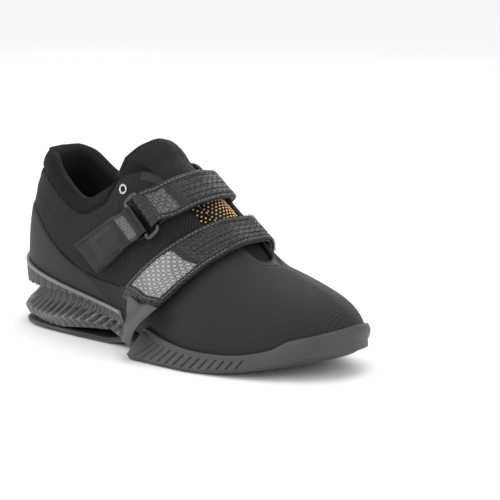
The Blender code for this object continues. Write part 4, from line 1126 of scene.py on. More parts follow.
def makeUpper():
    along = np.linspace(0, 1, upperPiece["stations"])
    edge = column(overlayEdge, 1, along)
    rows = [(edge - 0.004) * k for k in np.linspace(0, 1, upperPiece["lowRows"]) ** 0.95]
    rows += [edge - 0.004 + 0.010 * k for k in np.linspace(0, 1, upperPiece["stepRows"] + 1)[1:]]
    start = edge + 0.006
    rows += [start + (1 - start) * k for k in np.linspace(0, 1, upperPiece["highRows"] + 1)[1:]]
    grids, size, top = [], 2 * len(along) - 2, rows[-1]
    for row in rows:
        def points(side, a):
            return wallPoint(side, a, row) + wallNormal(side, a, row) * upperOffset(side, a, row)[:, None]
        grids.append(bothSides(points, along))
    outerCount = len(grids)
    sideSlots = np.array([upperSlots(along, row, edge) for row in rows])
    rise = runOf(np.array(grids))
    half = halfLengths[outerSide][-1]
    runs = np.concatenate([along * half, (2 - along[-2:0:-1]) * half])

    def inner(row, share=1.0, lift=0.0):
        return bothSides(lambda side, a: innerFace(side, a, row, share, lift), along)

    lip = upperSizes["lipRound"]
    overLip = ((0.10, 0.16), (0.28, lip), (0.5, lip * 1.12), (0.72, lip), (0.90, 0.16))  # share across, lift
    grids += [inner(top, *turn) for turn in overLip]
    grids += [inner(rows[0] + (top - rows[0]) * k) for k in np.linspace(1, 0, upperPiece["innerRows"])]
    heights = list(rise) + [rise[-1] + 0.002 * (k + 1) for k in range(len(grids) - outerCount)]
    uvs = [np.column_stack([runs, height]) for height in heights]
    slots = []
    beadFrom, beadTo = upperPiece["beadSpan"]
    for r in range(len(grids)):
        for i in range(size):
            k = i if i < len(along) else size - i
            if r >= outerCount + len(overLip):
                slots.append(5)
            elif r >= outerCount - 1:
                slots.append(2 if along[k] < upperPiece["facingFrom"] else 4)
            elif i < len(along) and beadFrom < along[k] < beadTo and rows[r][k] > upperPiece["beadLine"]:
                slots.append(6)
            else:
                slots.append(sideSlots[r + 1][k])
    materials = [counterLeather, ribMesh, collarCloth, ripstop, facingCloth, liningCloth, beadMesh]
    faces = ringFaces(len(grids), size, wrap=True)
    upper = addPiece("upper_shell", np.vstack(grids), faces, materials, np.vstack(uvs), slots, 55, ["upper"])
    return upper


upperShell = makeUpper()

print("insole")


def makeInsole():
    along = np.linspace(0, 1, 120)
    gap = upperSizes["wall"] * tongueSizes["insoleRoom"] + clearance

    def ring(inset, lift):
        def points(side, a):
            bed = bedHeight(outline(side, a)[:, 0])
            plan = wallAtHeight(side, a, bed + clearance + lift) - outward(side, a) * (gap + inset)
            return np.column_stack([plan, bedHeight(plan[:, 0]) + clearance + lift])
        return bothSides(points, along)

    top = tongueSizes["insoleThickness"]
    rings = [ring(0.0, 0.0), ring(0.0, top * 0.6), ring(0.0005, top * 0.85), ring(0.0014, top)]
    for share in (0.004, 0.008, 0.014):
        rings.append(ring(share, top - 0.0003 * (share / 0.014)))
    size = len(rings[0])
    faces = rungFaces(0, size) + ringFaces(len(rings), size) + rungFaces((len(rings) - 1) * size, size)
    insole = addPiece("insole_pad", np.vstack(rings), faces, [insoleCloth], None, None, 40, ["insole"])


makeInsole()

print("tongue")
tonguePiece = {
    "rows": 110, "columns": 64, "rib": 0.00018, "welt": 0.0007, "leanBack": 0.0035, "leanOut": 0.0050,
    "beadPitch": 0.0029, "beadSize": 0.00074, "beadRise": 0.0001, "beadStart": (0.1665, 0.0, 0.0965),
}


def refined(grid, rows, columns):
    # a finer grid through a coarse one, row by row and then column by column
    def along(values, count):
        at = np.linspace(0, len(values) - 1, count)
        i = np.clip(at.astype(int), 0, len(values) - 2)
        t = (at - i)[:, None, None]
        padded = np.concatenate([2 * values[:1] - values[1:2], values, 2 * values[-1:] - values[-2:-1]])
        a, b, c, d = (padded[i + k] for k in range(4))
        bend = (2 * a - 5 * b + 4 * c - d) * t**2 + (3 * b - a - 3 * c + d) * t**3
        return 0.5 * (2 * b + (c - a) * t + bend)
    return along(along(grid, rows).transpose(1, 0, 2), columns).transpose(1, 0, 2)


def sheetAt(rows, ways, s, c):
    # a point and its outward way, at row and column numbers that need not be whole
    r, q = np.clip(s, 0, len(rows) - 1.001), np.clip(c, 0, rows.shape[1] - 1.001)
    i, j = int(r), int(q)
    a, b = r - i, q - j

    def mix(g):
        left, right = (g[i, k] * (1 - a) + g[i + 1, k] * a for k in (j, j + 1))
        return left * (1 - b) + right * b
    return mix(rows), unit(mix(ways))


# 0 at both edges, rising in a round to 1
def edgeFade(count, reach):
    near = np.minimum(np.arange(count), np.arange(count)[::-1]) / reach
    return np.sqrt(np.clip(1 - (1 - np.clip(near, 0, 1)) ** 2, 0, 1))


# a closed sheet from its outer and inner grids, with a border of quads
def slabPiece(name, outer, inner, materials, uvs, stands, slots=None, sharp=50):
    rows, columns = outer.shape[:2]
    points = np.vstack([outer.reshape(-1, 3), inner.reshape(-1, 3)])
    total, faces, kinds = rows * columns, [], []
    for r in range(rows - 1):
        for c in range(columns - 1):
            a = r * columns + c
            quad = (a, a + 1, a + 1 + columns, a + columns)
            faces.append(quad)
            faces.append(tuple(total + k for k in quad[::-1]))
            kinds += [0, 0] if slots is None else [slots[r, c], slots[r, c]]
    border = [(0, c) for c in range(columns)] + [(r, columns - 1) for r in range(1, rows)]
    border += [(rows - 1, c) for c in range(columns - 2, -1, -1)] + [(r, 0) for r in range(rows - 2, 0, -1)]
    index = [r * columns + c for r, c in border]
    for k, a in enumerate(index):
        b = index[(k + 1) % len(index)]
        faces.append((a, b, total + b, total + a))
        kinds.append(0)
    return addPiece(name, points, faces, materials, np.vstack([uvs.reshape(-1, 2)] * 2), kinds, sharp, stands)


def eased(grid, first, turns):
    # lets the rows from first on run smoothly into one another
    out = grid.copy()
    for _ in range(turns):
        out[first:-1] = 0.5 * out[first:-1] + 0.25 * (out[first - 1:-2] + out[first + 1:])
    return out


tongueFine = eased(refined(tongueRows(), tonguePiece["rows"], tonguePiece["columns"]), 58, 90)
lean = ease((np.linspace(0, 1, len(tongueFine)) - 0.62) / 0.3)[:, None]
outer = ease(np.linspace(1.0, -0.4, tongueFine.shape[1]))[None, :]
tongueFine[..., 0] -= tonguePiece["leanBack"] * lean * outer  # the upper part leans back on the lateral side
tongueFine[..., 1] -= tonguePiece["leanOut"] * lean * outer
tongueOut = gridNormals(tongueFine)


def makeTongue():
    rows, columns = tonguePiece["rows"], tonguePiece["columns"]
    fade = edgeFade(rows, 4)[:, None] * edgeFade(columns, 4)[None, :]
    across = np.linspace(-1, 1, columns)[None, :]
    up = np.linspace(0, 1, rows)[:, None]
    high = ease((up - 0.55) / 0.2)
    ribs = tonguePiece["rib"] * np.cos(across * 22) * high
    welt = bell(np.abs(across) - 0.80, 0.03) * high + bell(up - 0.955, 0.010) * (np.abs(across) < 0.8)
    relief = (ribs - tonguePiece["welt"] * welt + 0.0004 * waves(tongueFine, 0.02, 3)) * fade
    full = tongueSizes["tongueThickness"]
    half = full * (0.18 + 0.82 * fade)
    outer = tongueFine + tongueOut * (relief - (full - half) * 0.35)[..., None]
    inner = tongueFine - tongueOut * ((full - half) * 0.35 + half)[..., None]
    runs = runOf(tongueFine)
    sides = runOf(tongueFine.transpose(1, 0, 2)).T
    tongue = slabPiece("tongue_pad", outer, inner, [tongueCloth], np.stack([runs, sides], -1), ["tongue"])
    return tongue


tonguePad = makeTongue()


# a low faceted dome, sunk a little into the cloth
def roundBead(centre, way, size):
    helper = np.array([1.0, 0, 0]) if abs(way[0]) < 0.8 else np.array([0, 1.0, 0])
    a = unit(np.cross(way, helper))
    b = np.cross(way, a)
    points = []
    for tilt in (0.35, 0.9, 1.35, 1.75):
        for k in range(8):
            turn = 2 * math.pi * k / 8
            aside = a * math.cos(turn) + b * math.sin(turn)
            points.append(centre + size * (way * math.cos(tilt) + aside * math.sin(tilt)))
    faces = [tuple(range(7, -1, -1)), tuple(range(24, 32))]
    return points, faces + tubeFaces(0, 8, 4)


def makeBeads():
    # a staggered lattice, dropped onto the tongue and the edge of the facing beside it
    pitch, points, faces = tonguePiece["beadPitch"], [], []
    way, down = unit(np.array([0.6, 0, 0.8])), unit(np.array([0.8, 0, -0.6]))
    trees = []
    for mesh in (upperShell.data, tonguePad.data):
        quads = [tuple(face.vertices) for face in mesh.polygons]
        trees.append(BVHTree.FromPolygons([corner.co for corner in mesh.vertices], quads))
    for i in range(-7, 8):
        for j in range(-6, 6):
            side = (j + 0.5 * (i % 2)) * pitch
            if not -0.0158 < side < 0.0165:
                continue
            start = np.array(tonguePiece["beadStart"]) + down * i * pitch * 0.87 + np.array([0, side, 0])
            start = start + way * 0.02 + homeShift
            hits = [tree.ray_cast(Vector(start), Vector(-way), 0.06) for tree in trees]
            hits = [hit for hit in hits if hit[0] is not None]
            if not hits:
                continue
            hit = min(hits, key=lambda found: found[3])
            out = np.array(hit[1]) if hit[1].dot(Vector(way)) > 0 else -np.array(hit[1])
            spot = np.array(hit[0]) - homeShift + out * tonguePiece["beadRise"]
            bead, quads = roundBead(spot, out, tonguePiece["beadSize"])
            faces += [tuple(len(points) + k for k in quad) for quad in quads]
            points += bead
    beads = addPiece("tongue_beads", points, faces, [beadGold], None, None, 60)


makeBeads()

print("outsole")
solePiece = {
    "heelStations": 44, "stepStations": 14, "grooveStep": 0.00034, "toeStations": 110,
    "grooveDepth": 0.0012, "grooveWidth": 0.00055, "toeRound": 0.0055,
}


# stations along the sole, finer where the slanted grooves are
def soleStations():
    heel = np.linspace(0, soleSizes["cupStart"], solePiece["heelStations"])
    stepAt = np.linspace(soleSizes["cupStart"], soleSizes["cupFull"], solePiece["stepStations"])[1:]
    first, whole = soleSizes["cupFull"], halfLengths[outerSide][-1]
    last = first + 0.022 + (soleSizes["groovesPerSide"] + 2.5) * soleSizes["groovePitch"] / whole
    cut = np.linspace(first, last, int((last - first) * whole / solePiece["grooveStep"]))[1:]
    toe = np.linspace(last, 1, solePiece["toeStations"])[1:]
    return np.concatenate([heel, stepAt, cut, toe])


def makeOutsole():
    along = soleStations()
    share = cupShare(along)
    clear, lipWall = clearance, soleSizes["lipWall"]
    roll = 1 + soleSizes["toeRoll"] * ease((along - 0.66) / 0.25)

    def ring(inset, low, highShare):
        return bothSides(lambda side, a: soleRing(side, a, inset, low, highShare), along)

    def cut(side, height):
        # how deep the slanted grooves are at a height above the tread
        run = along * halfLengths[side][-1] - (soleSizes["cupFull"] + 0.016) * halfLengths[side][-1]
        leaned = run - height * math.tan(soleSizes["grooveLean"])
        number = np.clip(np.round(leaned / soleSizes["groovePitch"]), 0, soleSizes["groovesPerSide"] - 1)
        near = np.abs(leaned - number * soleSizes["groovePitch"])
        return solePiece["grooveDepth"] * ease(1.5 - near / solePiece["grooveWidth"])

    def toeRound(a):
        return solePiece["toeRound"] * ease((a - 0.74) / 0.2)

    def sideRing(shareUp):
        def points(side, a):
            plan = solePlan(side, a)
            ground = groundLine(plan[:, 0])
            low = ground + soleSizes["treadLayer"] + 0.0003
            under = lipTop(side, a) - np.where(share > 0.5, soleSizes["lipBand"], 0.0004)
            z = low + (under - low) * shareUp
            margin = column(soleMargin, 1 if side == outerSide else 2, a) * heelWidth
            inset = np.minimum(0.0035, margin - 2 * clear - lipWall)
            outer = solePlan(side, a, inset)
            wall = cupInner(side, a, np.maximum(under, bedHeight(outline(side, a)[:, 0])), clear + lipWall)
            head = outer + (wall - outer) * (0.85 * share)[:, None]
            body = plan + (head - plan) * shareUp
            fade = ease((shareUp - 0.04) / 0.05) * ease((0.97 - shareUp) / 0.05) * (share > 0.9)
            sunk = toeRound(a) * (1 - shareUp) ** 2 + cut(side, z - low) * fade
            return np.column_stack([body - outward(side, a) * sunk[:, None], z])
        return bothSides(points, along)

    def cupRing(gap, rise=1.0, drop=0.0):
        def points(side, a):
            bed = bedHeight(outline(side, a)[:, 0])
            low = baseHeight(outline(side, a)[:, 0])
            low = low + (bed - low) * share
            height = low + (lipTop(side, a) - drop - low) * rise
            return np.column_stack([cupInner(side, a, np.maximum(height, bed + clear), gap), height])
        return bothSides(points, along)

    def floorRing(side, a):
        plan = outline(side, a) + outward(side, a) * clear
        bed, base = bedHeight(plan[:, 0]), baseHeight(plan[:, 0])
        return np.column_stack([plan, base + (bed - base) * share])

    edge, tread = soleSizes["edgeRoll"], soleSizes["treadLayer"]
    edgeTurn = ((1.0, 0.0), (0.78, 0.12), (0.60, 0.28), (0.48, 0.48), (0.42, 0.8), (0.40, 1.0), (0.2, 1.04))
    sideShares = (0.0, 0.04, 0.09, 0.16, 0.25, 0.35, 0.45, 0.55, 0.65, 0.75, 0.84, 0.91, 0.96, 1.0)
    rings = []
    for inset, low in edgeTurn:
        rings.append(ring(edge * inset * roll + toeRound(along) * (1 + 0.5 * (1 - low)), tread * low, 0.0))
    rings += [sideRing(k) for k in sideShares]
    for stand, drop in ((1.0, 0.0018), (1.0, 0.0007), (0.8, 0.0), (0.3, 0.0), (0.0, 0.0004)):
        rings.append(cupRing(clear + lipWall * stand, 1.0, drop))
    rings += [cupRing(clear, k) for k in (0.8, 0.6, 0.4, 0.2)] + [bothSides(floorRing, along)]
    size = len(rings[0])
    faces = rungFaces(0, size) + ringFaces(len(rings), size) + rungFaces((len(rings) - 1) * size, size)
    sole = addPiece("outsole_cup", np.vstack(rings), faces, [rubber], None, None, 38, ["outsole"])


makeOutsole()

print("heel frame")
framePiece = {"fins": 18, "samples": 9, "sharpness": 2.2, "gap": 0.0040, "bandGap": 0.0019, "knurl": 0.00035}


def makeHeelFrame():
    count = framePiece["fins"] * framePiece["samples"]
    shares = np.linspace(0, 1, count + 1)
    wave = 0.5 - 0.5 * np.cos(2 * math.pi * shares * framePiece["fins"])
    openGap = wave ** (1 / framePiece["sharpness"]) * ease((1 - shares) / 0.05) * ease(shares / 0.02)
    along = shares * frameFront
    closing = ease((1 - shares) / 0.03)
    clear, rimWall = clearance, frameSizes["rimWall"]

    def openChain(make):
        return np.vstack([make(outerSide), make(innerSide)[:0:-1]])

    def baseTop(plan):
        return baseHeight(plan[:, 0]) + clear

    def rim(gap, drop=0.0, rise=1.0):
        def points(side):
            bed = bedHeight(outline(side, along)[:, 0])
            z = bed + ((rimTop(along) - bed) * rise - drop) * closing
            out = outward(side, along) * (clear + (gap - clear) * closing)[:, None]
            return np.column_stack([wallAtHeight(side, along, z) + out, z])
        return openChain(points)

    def waistAt(share):
        return frameSizes["waistInset"] * (0.20 + 0.80 * ease(share / 0.30)) * (1 - 0.55 * share)

    def liftAt(share):
        return frameSizes["finLift"] * ease((share - 0.42) / 0.45) * ease((1 - share) / 0.10)

    flare = frameSizes["heelFlare"] * (1 - ease(shares / 0.42))
    finDepth = framePiece["gap"] * openGap * (0.35 + 0.65 * ease(shares / 0.16)) * (1 - 0.45 * shares)
    waist, lifted = waistAt(shares), liftAt(shares)
    shell = frameSizes["frameShell"]
    deep = np.minimum(shares, 1 - 3.5 * shell / shoeLength / frameFront)

    def footRing(heightShare, waistShare, flareShare, gapShare):
        def points(side):
            sweep = frameSizes["finSweep"] * (1 - ease(heightShare / 0.8)) * 4 * shares * (1 - shares)
            moved = np.clip(along - sweep * frameFront, 0, 1)
            knurl = np.cos(2 * math.pi * shares * framePiece["fins"] * 3) * (1 - heightShare)
            inset = waist * waistShare - flare * flareShare + finDepth * gapShare
            plan = solePlan(side, moved, inset + framePiece["knurl"] * knurl)
            bottom = baseTop(plan) + lifted
            return np.column_stack([plan, bottom + (bedHeight(plan[:, 0]) - bottom) * heightShare])
        return openChain(points)

    def base(inset, flareShare, heightShare):
        def points(side):
            plan = solePlan(side, along, inset - flare * flareShare)
            bottom = baseTop(plan) + lifted
            return np.column_stack([plan, bottom + (bedHeight(plan[:, 0]) - bottom) * heightShare])
        return openChain(points)

    def bed(side):
        plan = outline(side, along) + outward(side, along) * clear
        return np.column_stack([plan, bedHeight(plan[:, 0])])

    def ceiling(side):
        plan = solePlan(side, deep * frameFront, waistAt(deep) + frameSizes["finDepth"] + shell)
        high = bedHeight(plan[:, 0])
        return np.column_stack([plan, high - np.minimum(shell, 0.5 * (high - baseTop(plan) - liftAt(deep)))])

    def cavityFoot(side):
        plan = solePlan(side, deep * frameFront, np.full(len(along), shell * 2.6))
        return np.column_stack([plan, baseTop(plan) + liftAt(deep)])

    rings = [openChain(bed), rim(clear, rise=0.3), rim(clear, rise=0.65), rim(clear)]
    band = frameSizes["rimBand"]
    for stand, drop in ((0.75, -0.0002), (1.0, 0.0004), (1.0, band * 0.8), (0.8, band)):
        rings.append(rim(clear + rimWall * stand, drop))
    heights, stands, _ = zip(*bandProfile[::-1])
    for height in np.linspace(0.90, 0.0, 9):
        stand = np.interp(height, heights, stands)
        gap = framePiece["bandGap"] * openGap * ease((0.93 - height) / 0.12)
        rings.append(rim(clear + rimWall * stand - gap, rise=height))
    for height in np.linspace(0.90, 0.25, 14):
        rings.append(footRing(height, *(column(footProfile[::-1], k, height) for k in (1, 2, 3))))
    rings += [base(0.0, 0.60, 0.13), base(0.0012, 0.0, 0.0), openChain(cavityFoot), openChain(ceiling)]
    size = len(rings[0])
    lid = rungFaces(0, size, True)
    faces = lid + ringFaces(len(rings), size) + rungFaces((len(rings) - 1) * size, size, True)
    slots = []
    for k in range(len(faces)):
        ring, turn = divmod(k - len(lid), size)
        station = min(turn if turn <= count else size - turn, count)
        # the crest faces take the pale finish, a painted highlight along each fin
        onFin = openGap[station] < 0.45 and 7 <= ring <= 31
        # slot 1 covers the rim's rings, which carry the rim's painted highlight
        slots.append(1 if 3 <= ring <= 6 else 2 if onFin else 0)
    materials = [gloss, rimPaintedHighlight, finCrestHighlight]
    piece = addPiece("heel_frame_fins", np.vstack(rings), faces, materials, None, slots, 45, ["heel_frame"])


makeHeelFrame()

print("straps")
strapPiece = {
    "stitch": 0.0021, "stitchGap": 0.0008, "stitchRadius": 0.00026, "edgeIn": 0.0022, "pairGap": 0.0016,
    "upperPatch": (0.0065, 0.0215), "lowerPatchFromTip": (0.0042, 0.0430), "patchEdge": 0.0040,
    "quilt": 0.00030, "quiltPitch": 0.0048, "hem": 0.0005, "unrest": 0.00035,
}
tabPiece = {
    "widthShare": 0.9, "patch": (0.003, 0.017), "patchEdge": 0.0022, "raise": 0.0004, "rib": 0.0003,
    "ribPitch": 0.0038, "ribbedEnd": 0.014, "unrest": 0.0003, "stitchEdges": (0.0018, 0.0032),
}
walls = strapForms()
lowWalls = np.vstack([walls, soleSide(), frameSide()])


def bandPiece(name, rows, ways, thickness, relief, materials, slots, stands):
    count, columns = rows.shape[:2]
    widths = np.linalg.norm(rows[:, -1] - rows[:, 0], axis=1)[:, None]
    near = (0.5 - np.abs(strapLines))[None, :] * widths / (thickness * 0.55)
    ends = np.minimum(np.arange(count), np.arange(count)[::-1])[:, None]
    half = thickness / 2 * np.sqrt(np.clip(1 - (1 - np.clip(near, 0, 1)) ** 2, 0, 1))
    half = half * np.clip(0.55 + 0.45 * ends, 0, 1)
    outer = rows + ways * (half + relief[0])[..., None]
    inner = rows - ways * (half + relief[1])[..., None]
    runs = runOf(rows[:, columns // 2])
    uv = np.stack(np.broadcast_arrays(runs[:, None], strapLines[None, :] * np.median(widths)), -1)
    piece = slabPiece(name, outer, inner, materials, uv, stands, slots, 50)
    return piece


stitchShape = ((0.0, 0.35, -0.6), (0.16, 0.9, 0.35), (0.5, 1.0, 0.6), (0.84, 0.9, 0.35), (1.0, 0.35, -0.6))


def stitchRun(points, ways):
    # short raised stitches one after another along a line
    length, gap, radius = (strapPiece[key] for key in ("stitch", "stitchGap", "stitchRadius"))
    steps = runOf(points)
    spots, faces, at = [], [], gap / 2
    while at + length < steps[-1]:
        ends = [np.array([np.interp(v, steps, points[:, k]) for k in range(3)]) for v in (at, at + length)]
        way = unit(np.array([np.interp(at + length / 2, steps, ways[:, k]) for k in range(3)]))
        run = unit(ends[1] - ends[0])
        across = np.cross(way, run)
        start = len(spots)
        for share, fat, high in stitchShape:  # share of the length, thickness, lift
            centre = ends[0] * (1 - share) + ends[1] * share + way * radius * high
            for k in range(6):
                turn = math.pi * k / 3
                spots.append(centre + radius * fat * (across * math.cos(turn) + way * math.sin(turn)))
        faces += tubeFaces(start, 6, len(stitchShape))
        faces += [tuple(start + k for k in range(5, -1, -1)), tuple(start + 24 + k for k in range(6))]
        at += length + gap
    return spots, faces


def makeStitches(name, lines, material):
    points, faces = [], []
    for line, ways in lines:
        spots, quads = stitchRun(np.array(line), np.array(ways))
        faces += [tuple(len(points) + k for k in quad) for quad in quads]
        points += spots
    if points:
        addPiece(name, points, faces, [material], None, None, 60)


def spread(rows, over):
    # on the outer leg: run, the band's widths, place across and distance from the edge
    widths = np.linalg.norm(rows[:, -1] - rows[:, 0], axis=1)
    across = strapLines[None, :] * widths[over:, None]
    return runOf(rows[over:, len(strapLines) // 2]), widths, across, widths[over:, None] / 2 - np.abs(across)


def columnAt(width, offset):
    return np.interp(offset, strapLines * width, np.arange(len(strapLines)))


def patchSlots(count, over, inPatch):
    slots = np.zeros((count - 1, len(strapLines) - 1), int)
    slots[over:] = inPatch[:-1, :-1] & inPatch[1:, 1:]
    return slots


def makeTab(name, skin, seat, bar, tab):
    thick, size = strapSizes["tabThickness"], tabPiece
    end = bar + math.copysign(strapSizes["ringSpan"] + tab, bar)
    rows, ways = foldedBand(skin, seat, bar, end, end, thick, size["widthShare"], strapSizes["ringSpan"])
    over = len(stopsOf(bar, end, strapSizes["ringSpan"])) + turnRows
    far, widths, _, edge = spread(rows, over)
    run, count = far[:, None], len(rows)
    inPatch = (run > size["patch"][0]) & (run < size["patch"][1]) & (edge > size["patchEdge"])
    raised = size["raise"] * ease((run - 0.018) / 0.006) * ease((far[-1] - 0.012 - run) / 0.008)
    raised = raised * ease((edge - 0.003) / 0.006)
    ribbed = np.abs(np.sin(math.pi * run / size["ribPitch"])) ** 8
    ribbed = ribbed * ease((run - far[-1] + size["ribbedEnd"]) / 0.002)
    relief = np.zeros((count, len(strapLines)))
    relief[over:] = raised - size["rib"] * ribbed + size["unrest"] * waves(rows[over:], 0.012, 8)
    lines = []
    for inset in size["stitchEdges"]:
        for sign in (-1, 1):
            line = []
            for r in range(over + 2, count - 1):
                line.append(sheetAt(rows, -ways, r, columnAt(widths[r], sign * (widths[r] / 2 - inset))))
            lines.append(([spot + way * thick / 2 for spot, way in line], [way for _, way in line]))
    makeStitches("stitches_tab_" + name, lines, threadDark)
    bandPiece("tab_band_" + name, rows, ways, thick, (0 * relief, relief), [tabLeather, carbonDark],
              patchSlots(count, over, inPatch), ["tab_" + name])


def strapRelief(name, rows, over, far, across, edge, patch):
    # quilted channels away from the patch, two sunk seams at the edges and a hem round the patch
    size, run = strapPiece, far[:, None]
    start = (run - patch[1] - 0.006) / 0.003 if name == "upper" else (patch[0] - 0.005 - run) / 0.003
    channels = np.abs(np.cos(math.pi * across / size["quiltPitch"])) ** 6
    quilt = -size["quilt"] * channels * ease(start) * ease((edge - 0.003) / 0.001)
    second = edge - size["edgeIn"] - size["pairGap"]
    border = -0.00022 * bell(edge - size["edgeIn"], 0.0006) - 0.00018 * bell(second, 0.0006)
    hem = -size["hem"] * (bell(run - patch[0] + 0.0008, 0.0009) + bell(run - patch[1] - 0.0008, 0.0009))
    relief = np.zeros((len(rows), len(strapLines)))
    relief[over:] = quilt + border + hem * (edge > 0.004) + size["unrest"] * waves(rows[over:], 0.014, 5)
    return relief


def makeStrap(name, place, course, forms, bar, anchor, tip, tab):
    wrap = Wrap(*place, course, forms)
    skin = Wrap(*place, course, walls, taut=False)
    seat, size = wrap.ringSeat(bar), strapPiece
    thick = strapSizes["strapThickness"]
    rows, ways = foldedBand(wrap, seat, bar, anchor, tip, thick)
    over = len(stopsOf(bar, anchor)) + turnRows
    far, widths, across, edge = spread(rows, over)
    total = far[-1]
    fromTip = size["lowerPatchFromTip"]
    patch = size["upperPatch"] if name == "upper" else (total - fromTip[1], total - fromTip[0])
    inPatch = (far[:, None] > patch[0]) & (far[:, None] < patch[1]) & (edge > size["patchEdge"])
    relief = strapRelief(name, rows, over, far, across, edge, patch)
    bandPiece("strap_band_" + name, rows, ways, thick, (0 * relief, relief),
              [strapLeather, carbonDark if name == "upper" else carbonBright],
              patchSlots(len(rows), over, inPatch), ["strap_" + name])
    top, out = rows[over:], -ways[over:]

    def seamAt(places):
        line = [sheetAt(top, out, r, columnAt(widths[over + int(r)], offset)) for r, offset in places]
        return [spot + way * (thick / 2) for spot, way in line], [way for _, way in line]

    def lineAt(offsetOf, first, last):
        return seamAt([(r, offsetOf(r)) for r in range(len(top)) if first <= far[r] <= last])

    def crossAt(distance, reach=0.004):
        r = np.interp(distance, far, np.arange(len(far)))
        half = widths[over + int(r)] / 2 - reach
        return seamAt([(r, offset) for offset in np.linspace(-half, half, 14)])

    def channel(share):
        return lambda r: share * size["quiltPitch"]

    pale, dark = [], []
    last = total - 0.0022
    for sign in (-1, 1):
        for kind, inset in ((pale, size["edgeIn"]), (dark, size["edgeIn"] + size["pairGap"])):
            kind.append(lineAt(lambda r: sign * (widths[over + r] / 2 - inset), 0.004, last))
    if name == "upper":
        dark += [crossAt(patch[1] + 0.0018), crossAt(patch[1] + 0.0036)]
        dark += [lineAt(channel(k * 0.9), patch[1] + 0.006, last - 0.004) for k in range(-2, 3)]
    else:
        pale += [crossAt(last, 0.0022)]
        dark += [crossAt(total - 0.0038, 0.0038), crossAt(patch[0] - 0.0018), crossAt(patch[0] - 0.0035)]
        dark += [lineAt(channel(k * 0.8), 0.012, patch[0] - 0.006) for k in range(-3, 4)]
    makeStitches("stitches_pale_" + name, pale, threadPale)
    makeStitches("stitches_dark_" + name, dark, threadDark)
    makeTab(name, skin, seat, bar, tab)


for name, course, forms in (("upper", upperCourse, walls), ("lower", lowerCourse, lowWalls)):
    parts = ("Crest", "Pitch", "Ring", "Anchor", "Tip", "Tab")
    crest, pitch, *runs = (strapSizes[name + part] for part in parts)
    makeStrap(name, (*crest, pitch), course, forms, *runs)

print("loop")


def evened(grid):
    # each inner point moves halfway to the mean of its four neighbours
    around = grid[:-2, 1:-1] + grid[2:, 1:-1] + grid[1:-1, :-2] + grid[1:-1, 2:]
    return 0.5 * grid[1:-1, 1:-1] + 0.125 * around


def makeLoop():
    wrap = Wrap(*strapSizes["lowerCrest"], strapSizes["lowerPitch"], loopCourse, lowWalls)
    stops = stopsOf(strapSizes["lowerRing"], strapSizes["loopFoot"])
    thick = strapSizes["tabThickness"]
    lift = strapSizes["strapGap"] + strapSizes["strapThickness"] + 2.5 * clearance + thick / 2
    rooms = wrap.chordRoom(stops)
    placed = [wrap.place(run, lift + room) for run, room in zip(stops, rooms) if run <= strapSizes["loopTop"]]
    rows, ways = (np.array(part) for part in zip(*placed))
    for _ in range(60):
        rows[1:-1, 1:-1] = evened(rows)
        ways[1:-1, 1:-1] = unit(evened(ways))
    rows += ways * 0.0006
    relief = 0.0003 * waves(rows, 0.012, 12)
    slots = np.zeros((len(rows) - 1, len(strapLines) - 1), int)
    bandPiece("loop_band", rows, ways, thick, (relief, 0 * relief), [loopLeather], slots,
              ["strap_loop"])


makeLoop()

print("finishes on the solids that stay")


# only the finish of a solid changes, in its object's own slots
def refinish(node, material):
    thing = bpy.data.objects[node]
    for slotRow in thing.material_slots:
        slotRow.link = "OBJECT"
        slotRow.material = material


for node in ("ring_upper", "ring_lower"):
    refinish(node, gunmetal)
for node in ("eyelet_lateral", "eyelet_medial"):
    refinish(node, steel)

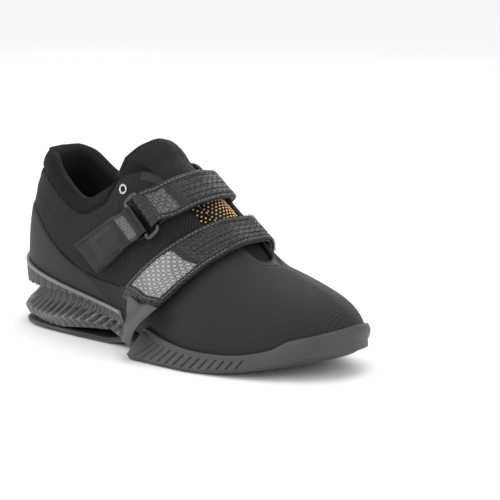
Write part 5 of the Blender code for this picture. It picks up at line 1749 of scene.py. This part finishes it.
print("camera and studio")
view = {"turn": 43.0, "rise": 11.0, "distance": 1.5, "pixels": 2223.0, "target": (0.1766, 0.0237, 0.0666)}
pictureWidth = 500  # pixels
turn, rise = math.radians(view["turn"]), math.radians(view["rise"])
forward = Vector((-math.sin(turn) * math.cos(rise), math.cos(turn) * math.cos(rise), -math.sin(rise)))
rightWay = Vector((math.cos(turn), math.sin(turn), 0))
upWay = rightWay.cross(forward)
camera = bpy.data.objects.new("camera", bpy.data.cameras.new("camera"))
camera.data.sensor_width = 36
camera.data.lens = view["pixels"] / pictureWidth * camera.data.sensor_width
camera.data.clip_start = 0.05
spot = Vector(view["target"]) + Vector(homeShift) - view["distance"] * forward
camera.matrix_world = Matrix.Translation(spot) @ Matrix((rightWay, upWay, -forward)).transposed().to_4x4()
scene.collection.objects.link(camera)
scene.camera = camera

floorMesh = bpy.data.meshes.new("floor")
floorMesh.from_pydata([(-40, -40, 0), (40, -40, 0), (40, 40, 0), (-40, 40, 0)], [], [(0, 1, 2, 3)])
floor = bpy.data.objects.new("floor", floorMesh)
scene.collection.objects.link(floor)
pale, tree, shader = newFinish("pale_floor", (0.86, 0.86, 0.86), 0.7)
tint(tree, shader, grain(tree, 3, 2), (0.93, 0.93, 0.93), (0.96, 0.96, 0.96))
floorMesh.materials.append(pale)

lights = {
    "overhead": ((0.1, 0.0, 1.5), (1.4, 1.0), 7, (0, 0, 0.05)),
    "front": ((0.55, -1.3, 0.8), (1.2, 0.8), 4, (0.03, 0, 0.05)),
    "side": ((-1.2, -0.9, 0.55), (0.8, 0.8), 3, (0, 0, 0.05)),
    "toe": ((1.4, 0.2, 0.7), (0.8, 0.8), 2.5, (0.1, 0, 0.04)),
    "behind": ((-0.5, 1.3, 0.9), (1.2, 0.8), 4, (0, 0, 0.08)),
}
for name, (place, size, power, aim) in lights.items():
    lamp = bpy.data.lights.new(name, "AREA")
    lamp.shape = "RECTANGLE"
    lamp.size, lamp.size_y = size
    lamp.energy = power
    thing = bpy.data.objects.new(name, lamp)
    thing.location = place
    thing.rotation_euler = (Vector(aim) - Vector(place)).to_track_quat("-Z", "Y").to_euler()
    scene.collection.objects.link(thing)
world = scene.world or bpy.data.worlds.new("studio")
scene.world = world
world.use_nodes = True
sky = world.node_tree.nodes["Background"]
sky.inputs[0].default_value = (1, 1, 1, 1)
sky.inputs[1].default_value = 0.95
scene.view_settings.view_transform = "Standard"
